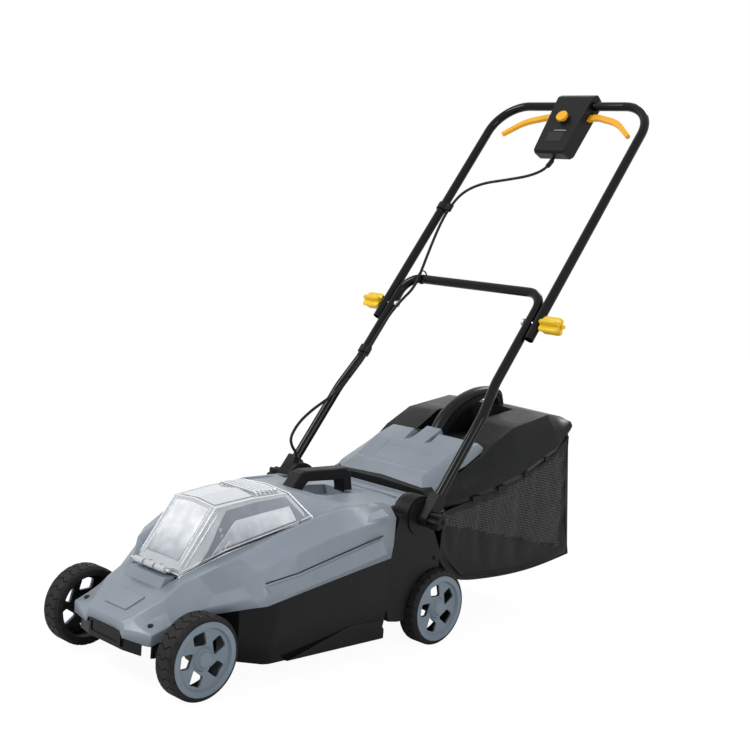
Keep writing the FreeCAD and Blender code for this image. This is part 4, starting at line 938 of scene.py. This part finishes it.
# %% Cover finishes
def painted_light_pane(name, light, dark, low, high, clear, roughness):
    """Clear plastic painted with light: painted shade at one height rising to a pale painted reflection at
    another, in millimetres.
    """
    finish, shader = new_finish(name)
    where = millimetres(finish)
    painted_light_by_height = between(finish, parted(finish, where)["Z"], low, high, 0.0, 0.8)
    patches = between(finish, noise(finish, where, 28), 0.35, 0.65, -0.12, 0.2)
    drift = worked(finish, "ADD", painted_light_by_height, patches)
    join(finish, mixed(finish, drift, dark, light), shader.inputs["Base Color"])
    shader.inputs["Roughness"].default_value = roughness
    shader.inputs["Transmission Weight"].default_value = clear
    shader.inputs["IOR"].default_value = 1.45
    shader.inputs["Coat Weight"].default_value = 0.8
    shader.inputs["Coat Roughness"].default_value = 0.05
    grained(finish, shader, where, None, 2.0, 0.003)
    return finish


# The rims' pale colour is a painted highlight. The panes' pale tops are a painted reflection that falls to
# painted shade lower down.
PAINTED_RIM_HIGHLIGHT = painted_light_pane("clear_rim", (0.90, 0.92, 0.94), (0.78, 0.81, 0.84), 160, 260, 0.05, 0.12)
FRONT_PANE = painted_light_pane("clear_front", (0.86, 0.88, 0.90), (0.26, 0.29, 0.33), 190, 236, 0.04, 0.10)
TOP_PANE = painted_light_pane("clear_top", (0.62, 0.65, 0.68), (0.56, 0.59, 0.62), 270, 292, 0.05, 0.12)
WINDOW_PANE = painted_light_pane("clear_window", (0.70, 0.73, 0.76), (0.24, 0.26, 0.30), 205, 262, 0.04, 0.10)
WINDOW_PAINTED_SHADE = painted_light_pane("clear_frame", (0.24, 0.27, 0.31), (0.13, 0.15, 0.18), 190, 275, 0.02, 0.18)

# %% Lines along the cover
COVER_BASE = [(61, 30, 168), (62.5, 37, 171), (91.5, 102, 206), (110.5, 180, 230), (130, 254, 255.5)]
COVER_RIDGE = [(55, 36.5, 183.5), (55.5, 102, 276.3), (58.5, 180, 285.3), (60, 256, 287)]
COVER_TREE = surface_tree("battery_cover")
COVER_MIDDLE = 140
NEAR_COVER = 0.012


def cover_point(x, y, z):
    return place(x / 1000, y / 1000, z / 1000)


def on_cover(point, lift):
    """The spot of the cover's outer face that lies out from its lower middle through a point in mm."""
    spot = cover_point(*point)
    centre = cover_point(0, point[1], COVER_MIDDLE)
    way = (spot - centre).normalized()
    found, normal = COVER_TREE.ray_cast(centre + way * 0.5, -way)[:2]
    if found is None or (found - spot).length > NEAR_COVER:
        return spot
    return found + (normal if normal.dot(way) > 0 else -normal) * lift


def cover_bead(name, points, radius, laid=True):
    """A bar along points in mm, painted pale as a painted highlight, laid on the cover's face or left where
    they are.
    """
    def spot_on(point):
        return on_cover(point, radius * 0.3) if laid else cover_point(*point)

    line = [spot_on(points[0])]
    for first, second in zip(points, points[1:]):
        steps = max(int(math.dist(first, second) / 8), 1) if laid else 1
        for k in range(1, steps + 1):
            line.append(spot_on([a + (b - a) * k / steps for a, b in zip(first, second)]))
    bead = bar(name, line, round_section(radius, 8))
    return attached(bead, "cover", "clear_cover", PAINTED_RIM_HIGHLIGHT)


COVER_LINES = (
    ("base_line", COVER_BASE, 0.0016, False),
    ("base_second", [(x - 2.6, y, z + 6.5) for x, y, z in COVER_BASE[1:]], 0.0009, True),
    ("ridge_line", COVER_RIDGE, 0.0013, True),
    ("front_inner", [(46, 37.5, 185), (46.5, 101.5, 277.5)], 0.0010, True),
    ("front_outer", [(60.5, 39, 179), (61.2, 102, 266)], 0.0010, True),
    ("rear_line", [(130, 254, 255.5), (127, 259, 259), (61, 261, 287.5), (0, 261, 292)], 0.0013, True),
    ("foot", [(61.5, 31, 169.5), (61.5, 31, 158)], 0.0022, False),
)
for side_name, side in reversed(SIDES):
    for part, points, radius, laid in COVER_LINES:
        cover_bead(f"cover_{part}_{side_name}", [(side * x, y, z) for x, y, z in points], radius, laid)
cover_bead("cover_crease_line", [(-55, 102, 276.6), (0, 102, 281.3), (55, 102, 276.6)], 0.0009)
cover_bead("cover_front_low_line", [(-60, 31, 171.5), (0, 31, 173.2), (60, 31, 171.5)], 0.0012, False)
for k in range(6):
    y = 196 + 9.6 * k
    z = 285.6 + (y - 180) * 0.02
    cover_bead(f"cover_top_rib_{k}", [(-52, y, z + 0.8), (0, y, z + 5.2), (52, y, z + 0.8)], 0.0014)


# %% Panes of the cover
def cover_sheet(name, spot, columns, rows, lift, finish):
    """A thin sheet laid on the cover: `spot` gives a point in mm for two shares from 0 to 1."""
    corners = [on_cover(spot(i / columns, j / rows), lift) for j in range(rows + 1) for i in range(columns + 1)]
    piece = made(name, corners, grid_faces(rows + 1, columns + 1), smooth=False)
    faced_outward(piece)
    wall = piece.modifiers.new("Wall", "SOLIDIFY")
    wall.thickness = 0.0005
    wall.offset = 0
    return attached(piece, "cover", "clear_cover", finish)


def blended(quad):
    """Points between four corners: the first two run across, the last two come back."""
    def spot(s, t):
        return [(a * (1 - s) + b * s) * (1 - t) + (d * (1 - s) + c * s) * t for a, b, c, d in zip(*quad)]
    return spot


def number_at(points, y, k):
    """Number k of a line of points where it passes y."""
    for first, second in zip(points, points[1:]):
        if y <= second[1]:
            return first[k] + (second[k] - first[k]) * max(y - first[1], 0) / (second[1] - first[1])
    return points[-1][k]


def side_face(share, up):
    """A point on the cover's side face: share along its base, and up to the ridge."""
    front, rear = COVER_BASE[1][1], COVER_BASE[-1][1]
    y = front + (rear - front) * share
    base = [number_at(COVER_BASE[1:], y, k) for k in (0, 2)]
    ridge = [number_at(COVER_RIDGE, y, k) for k in (0, 2)]
    return (base[0] + (ridge[0] - base[0]) * up, y, base[1] + (ridge[1] - base[1]) * up)


def side_sheet(name, quad, lift, finish):
    """A sheet on both side faces, its corners given as shares along the face and up it."""
    flat = blended(quad)
    for side_name, side in reversed(SIDES):
        def spot(s, t):
            x, y, z = side_face(*flat(s, t))
            return (side * x, y, z)
        cover_sheet(name + "_" + side_name, spot, 24, 6, lift, finish)


PANE_LIFT, WINDOW_LIFT = 0.0008, 0.0017
FRONT = [(-44, 41, 190), (44, 41, 190), (44, 98, 272), (-44, 98, 272)]
TOP = [(-46, 108, 279), (46, 108, 279), (50, 190, 287), (-50, 190, 287)]
# The band round each side window is a dark sheet of painted shade.
SHADE_BAND = [(0.10, 0.07), (0.98, 0.07), (0.97, 0.90), (0.39, 0.88)]
WINDOW = [(0.21, 0.14), (0.90, 0.14), (0.93, 0.58), (0.44, 0.60)]
cover_sheet("cover_front_pane", blended(FRONT), 10, 8, PANE_LIFT, FRONT_PANE)
cover_sheet("cover_top_pane", blended(TOP), 12, 8, PANE_LIFT, TOP_PANE)
side_sheet("cover_side_frame", SHADE_BAND, PANE_LIFT, WINDOW_PAINTED_SHADE)
side_sheet("cover_side_window", WINDOW, WINDOW_LIFT, WINDOW_PANE)
window_line = [side_face(*WINDOW[k]) for k in (0, 3, 2, 1)]
for side_name, side in reversed(SIDES):
    cover_bead("cover_window_line_" + side_name, [(side * x, y, z) for x, y, z in window_line], 0.0011)
print("cover lines and panes laid")

# %% [markdown]
# ## Small fittings
#
# The dome around each lower pivot has fine ribs. The switch box has a bare line, a dark window and a
# rubber boot for its cable. A tie holds the cable where it crosses the crossbar. The grass box's
# handle is a smooth round arch.

# %% Ribs of the pivot domes
def hoop(name, centre, radius, thick, body, slot):
    """A thin ring about the mower's left to right line."""
    side = ACROSS.orthogonal().normalized()
    up = ACROSS.cross(side).normalized()
    turns = [2 * math.pi * k / 64 for k in range(65)]
    line = [centre + (side * math.cos(a) + up * math.sin(a)) * radius for a in turns]
    return attached(bar(name, line, round_section(thick, 6)), body, slot)


for side_name, side in SIDES:
    for k in range(5):
        hoop(f"dome_rib_{side_name}_{k}", PIVOT + Vector((side * (0.154 + 0.005 * k), 0, 0)), 0.0379, 0.0009,
             "chassis", SLOT_OF["side_panels"])

# %% Switch box face, boot and tie
SWITCH_FACE = surface_tree("switch_box_top")


def on_switch_face(x, reach, lift):
    spot = SWITCH_FACE.ray_cast(on_handle(x, reach, 0.08), -OUT)[0]
    return (spot or on_handle(x, reach, 0.012)) + OUT * lift


def face_patch(name, corners, lift, finish):
    tops = [on_switch_face(x, r, lift) for x, r in corners]
    lows = [on_switch_face(x, r, -0.001) for x, r in corners]
    piece = made(name, tops + lows, [(0, 1, 2, 3), (7, 6, 5, 4)] + ring_faces(2, 4), smooth=False)
    faced_outward(piece)
    return attached(piece, BODY_OF["switch_box_top"], SLOT_OF["switch_box_top"], finish)


GLOSS_BLACK = moulded("gloss_black", (0.004, 0.004, 0.0045), 0.06, depth=0.002, gloss=0.4)
PALE_LINE = moulded("pale_line", (0.42, 0.43, 0.44), 0.40, depth=0.002)
face_patch("switch_window", [(-.019, BAR_REACH - .108), (.019, BAR_REACH - .108), (.0205, BAR_REACH - .084),
                             (-.0205, BAR_REACH - .084)], 0.0006, GLOSS_BLACK)
face_patch("switch_line", [(-.011, BAR_REACH - .0795), (.0205, BAR_REACH - .0795), (.0205, BAR_REACH - .078),
                           (-.011, BAR_REACH - .078)], 0.0005, PALE_LINE)
boot = bar("cable_boot", smooth_line(UPPER_ROUTE)[2:7], round_section(0.0052, 14))
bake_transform(boot)
boot.data.materials.append(FINISHES["cable_black"])
hoop("crossbar_tie", on_handle(-0.1395, 0.5130, 0.0035), 0.0135, 0.0016, "lower_handle", "cable_black")

# %% Arch of the grass box
ARCH = [(.706, .352), (.716, .370), (.736, .394), (.762, .413), (.792, .426), (.822, .4345), (.850, .4375),
        (.876, .4365), (.893, .430), (.900, .418), (.902, .404)]
arch_line = smooth_line([place(0, y, z) for y, z in ARCH])
arch_oval = [(0.0145 * x, 0.0105 * y) for x, y in round_section(1.0, 18)]
arch_ways = []
for before, after in zip(arch_line[:1] + arch_line, arch_line[1:] + arch_line[-1:]):
    arch_ways.append((ACROSS, ACROSS.cross(after - before).normalized()))
arch = bar("grass_box_arch", arch_line, arch_oval, arch_ways)
attached(arch, "grass_box", SLOT_OF["grass_box_lid"])
print("arch length", round(length_of(arch_line), 3))

# %% [markdown]
# ## Finishes on the CAD's own pieces
#
# The rest of the CAD stays as it is. Each piece takes the finish that its material slot names.

# %% Dress the CAD nodes
for node, shown in frame["nodes"].items():
    for slot in shown.material_slots:
        slot.material = finish_of(node)
for piece in CABLES:
    piece.data.materials.append(FINISHES["cable_black"])

# %% [markdown]
# ## Grass bag
#
# The bag is sewn from four flat cloths: two sides, a back and a floor. The sides hang from the lid's
# rim and are pulled down by a wire frame, so the cloth between is slack and sags inwards in soft
# folds. Each cloth starts as a flat grid between two edge lines. The cloth simulation then lets it
# settle, with its edges pinned where the seams are.

# %% Edge lines of the bag's side
BAG_HALF_WIDTH = 0.1605
TOP_EDGE = [(.566, .243), (.620, .254), (.690, .267), (.780, .287), (.860, .315), (.900, .332), (.942, .364)]
LOW_EDGE = [(.563, .154), (.590, .122), (.631, .1025), (.720, .0955), (.811, .0935), (.900, .099), (.981, .111)]
BACK_EDGE = [(.942, .364), (.944, .325), (.948, .230), (.981, .111)]


def along_edge(points, share):
    """The point at a share of the whole length of a line of (y, z) points."""
    spans = [math.dist(a, b) for a, b in zip(points, points[1:])]
    left = share * sum(spans)
    for (a, b), span in zip(zip(points, points[1:]), spans):
        if left <= span + 1e-9:
            t = left / span
            return a[0] + (b[0] - a[0]) * t, a[1] + (b[1] - a[1]) * t
        left -= span
    return points[-1]


# %% Sheets between two lines
def sheet_grid(name, low_line, high_line, columns, rows, bulge):
    """A grid of cloth between two lines. bulge(u, v) moves its points, u along and v up."""
    corners = []
    for j in range(rows + 1):
        for i in range(columns + 1):
            u, v = i / columns, j / rows
            corners.append(low_line(u).lerp(high_line(u), v) + bulge(u, v))
    return made(name, corners, grid_faces(rows + 1, columns + 1))


def settle(piece, columns, rows, slack, frames=16):
    """Let a grid of cloth sag between its pinned edges, then keep the settled shape."""
    pins = piece.vertex_groups.new(name="Seams")
    edge = [j * (columns + 1) + i for j in range(rows + 1) for i in range(columns + 1)
            if i in (0, columns) or j in (0, rows)]
    pins.add(edge, 1.0, "REPLACE")
    cloth_step = piece.modifiers.new("Settle", "CLOTH")
    options = cloth_step.settings
    options.vertex_group_mass = "Seams"
    options.shrink_min = -slack
    options.mass = 0.15
    options.tension_stiffness = options.compression_stiffness = 12
    options.bending_stiffness = 0.8
    options.quality = 6
    cloth_step.point_cache.frame_end = frames
    scene = bpy.context.scene
    for step in range(1, frames + 1):
        scene.frame_set(step)
    settled = piece.evaluated_get(bpy.context.evaluated_depsgraph_get()).data
    places = [v.co.copy() for v in settled.vertices]
    piece.modifiers.clear()
    for corner, place_now in zip(piece.data.vertices, places):
        corner.co = place_now
    scene.frame_set(1)


def cloth_area(piece):
    return sum(f.area for f in piece.data.polygons)


def hem(piece, thickness=0.0012):
    """Give the cloth its thickness, centred on it, and one smoothing step."""
    smooth = piece.modifiers.new("Smooth", "SUBSURF")
    smooth.levels = smooth.render_levels = 1
    body = piece.modifiers.new("Cloth", "SOLIDIFY")
    body.thickness = thickness
    body.offset = 0


def sewn(piece, columns, rows, slack, *finishes):
    """Settle a cloth, hem it, and hang it on the grass box."""
    settle(piece, columns, rows, slack)
    hem(piece)
    for finish in finishes:
        piece.data.materials.append(finish)
    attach(piece, "grass_box")
    return piece


# %% Sides of the bag
BAND_EDGE = [(.592, .213), (.765, .173), (.970, .125)]
BACK_BORDER = 0.955
TOP_BORDER = [(.603, .235), (.751, .266), (.927, .330)]


def side_of_bag(side_name, side):
    x = side * BAG_HALF_WIDTH
    columns, rows = 48, 20

    def low_line(u):
        return place(x, *along_edge(LOW_EDGE, u))

    def high_line(u):
        return place(x, *along_edge(TOP_EDGE, u))

    def slump(u, v):
        fold = math.sin(u * 21 + 2.2 * v) * 0.0012 + math.sin(u * 9 - 4 * v + 1.0) * 0.0016
        belly = math.sin(math.pi * u) * math.sin(math.pi * v)
        return Vector((-side * belly * (0.0045 + fold), 0, 0))

    piece = sheet_grid("bag_side_" + side_name, low_line, high_line, columns, rows, slump)
    sewn(piece, columns, rows, 0.006, FINISHES["bag_knit"], FINISHES["bag_fabric"])
    for face in piece.data.polygons:
        y, z = face.center.y + AXLE_BACK, face.center.z
        near_back = y > BACK_BORDER - (z - 0.11) * 0.12
        in_band = z < height_on(BAND_EDGE, y) or z > height_on(TOP_BORDER, y)
        face.material_index = 1 if in_band or near_back else 0
    return piece


def height_on(points, y):
    """Height of a line of (y, z) points at y, held level past its ends."""
    for (y0, z0), (y1, z1) in zip(points, points[1:]):
        if y <= y1:
            return z0 + (z1 - z0) * max(y - y0, 0) / (y1 - y0)
    return points[-1][1]


bag_sides = [side_of_bag(name, side) for name, side in SIDES]
for piece in bag_sides:
    print(piece.name, "area", round(cloth_area(piece), 4), "m2")

# %% Back and floor of the bag
def panel_between(name, edge_points, columns, rows):
    """A cloth across the bag that follows a line of (y, z) points from its low to its high end."""
    corners = []
    for j in range(rows + 1):
        y, z = along_edge(edge_points, j / rows)
        for i in range(columns + 1):
            corners.append(place(-BAG_HALF_WIDTH + 2 * BAG_HALF_WIDTH * (i / columns), y, z))
    piece = made(name, corners, grid_faces(rows + 1, columns + 1))
    return sewn(piece, columns, rows, 0.004, FINISHES["bag_fabric"])


FLOOR_LOWEST = 0.0915
bag_floor = panel_between("bag_floor", LOW_EDGE, 28, 34)
bag_back = panel_between("bag_back", list(reversed(BACK_EDGE)), 28, 22)
for point in bag_floor.data.vertices:
    point.co.z = max(point.co.z, FLOOR_LOWEST)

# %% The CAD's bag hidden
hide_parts("grass_bag")

# %% [markdown]
# The seams are bound with a rolled edge, a thin cord of cloth sewn over the raw edges. It is what
# gives the bag its crisp outline along the floor and the back.

# %% Bound seams
def edging(name, points, radius=0.0019):
    piece = bar(name, smooth_line(points), round_section(radius, 8))
    return attached(piece, "grass_box", "bag_fabric")


top_y, top_z = BACK_EDGE[0]
top_x = BAG_HALF_WIDTH - 0.002
edging("bag_seam_top", [place(x, top_y, top_z + 0.002) for x in (-top_x, top_x)], 0.0034)
for side_name, side in SIDES:
    x = side * BAG_HALF_WIDTH
    edging("bag_seam_low_" + side_name, [place(x, *p) for p in LOW_EDGE])
    edging("bag_seam_back_" + side_name, [place(x, *p) for p in BACK_EDGE])
    band_x = side * (BAG_HALF_WIDTH - 0.003)
    edging("bag_seam_band_" + side_name, [place(band_x, *p) for p in BAND_EDGE], 0.0012)

# %% [markdown]
# ## Floor, light and background
#
# A large pale floor and plain soft light show the mower as it is. The floor and the background turn
# white for the camera alone, and the floor keeps part of its own shade, so the shadow stays.

# %% Floor
FLOOR_REACH = 14.0
FLOOR_GLOW, GLOW_SHARE = 1.08, 0.88


def pale_floor():
    turns = ((-1, -1), (1, -1), (1, 1), (-1, 1))
    floor = made("floor", [(FLOOR_REACH * x, FLOOR_REACH * y, 0) for x, y in turns], [(0, 1, 2, 3)])
    finish, shader = new_finish("floor_pale")
    shader.inputs["Base Color"].default_value = (0.80, 0.80, 0.80, 1)
    shader.inputs["Roughness"].default_value = 0.9
    output = next(n for n in finish.node_tree.nodes if n.type == "OUTPUT_MATERIAL")
    glow = add(finish, "Emission", Strength=FLOOR_GLOW, Color=(1, 1, 1, 1))
    blend = add(finish, "MixShader")
    path = add(finish, "LightPath")
    share = worked(finish, "MULTIPLY", path.outputs["Is Camera Ray"], GLOW_SHARE)
    join(finish, share, blend.inputs["Fac"])
    join(finish, shader.outputs[0], blend.inputs[1])
    join(finish, glow.outputs[0], blend.inputs[2])
    join(finish, blend.outputs[0], output.inputs["Surface"])
    floor.data.materials.append(finish)
    return floor


pale_floor()

# %% World and lamps
bpy.context.scene.view_settings.view_transform = "Standard"
AMBIENT = 0.62


def pale_world():
    world = bpy.data.worlds.new("Studio")
    bpy.context.scene.world = world
    world.use_nodes = True
    world.node_tree.nodes.clear()
    output = add(world, "OutputWorld")
    light = add(world, "Background", Strength=AMBIENT, Color=(0.95, 0.97, 1.0, 1))
    seen = add(world, "Background", Strength=1.0, Color=(1, 1, 1, 1))
    path = add(world, "LightPath")
    white_for = worked(world, "MAXIMUM", path.outputs["Is Camera Ray"], path.outputs["Is Glossy Ray"])
    white_for = worked(world, "MAXIMUM", white_for, path.outputs["Is Transmission Ray"])
    blend = add(world, "MixShader")
    join(world, white_for, blend.inputs["Fac"])
    join(world, light.outputs[0], blend.inputs[1])
    join(world, seen.outputs[0], blend.inputs[2])
    join(world, blend.outputs[0], output.inputs["Surface"])


def soft_lamp(name, at, size, power):
    data = bpy.data.lights.new(name, "AREA")
    data.shape = "DISK"
    data.size = size
    data.energy = power
    lamp = bpy.data.objects.new(name, data)
    bpy.context.scene.collection.objects.link(lamp)
    lamp.location = at
    lamp.rotation_euler = (Vector((0, 0, 0.35)) - Vector(at)).to_track_quat("-Z", "Y").to_euler()


pale_world()
soft_lamp("key", (-1.6, -2.6, 3.2), 1.6, 85)
soft_lamp("side", (3.2, -0.4, 1.6), 1.4, 22)
soft_lamp("back", (-0.5, 2.8, 2.6), 1.2, 35)
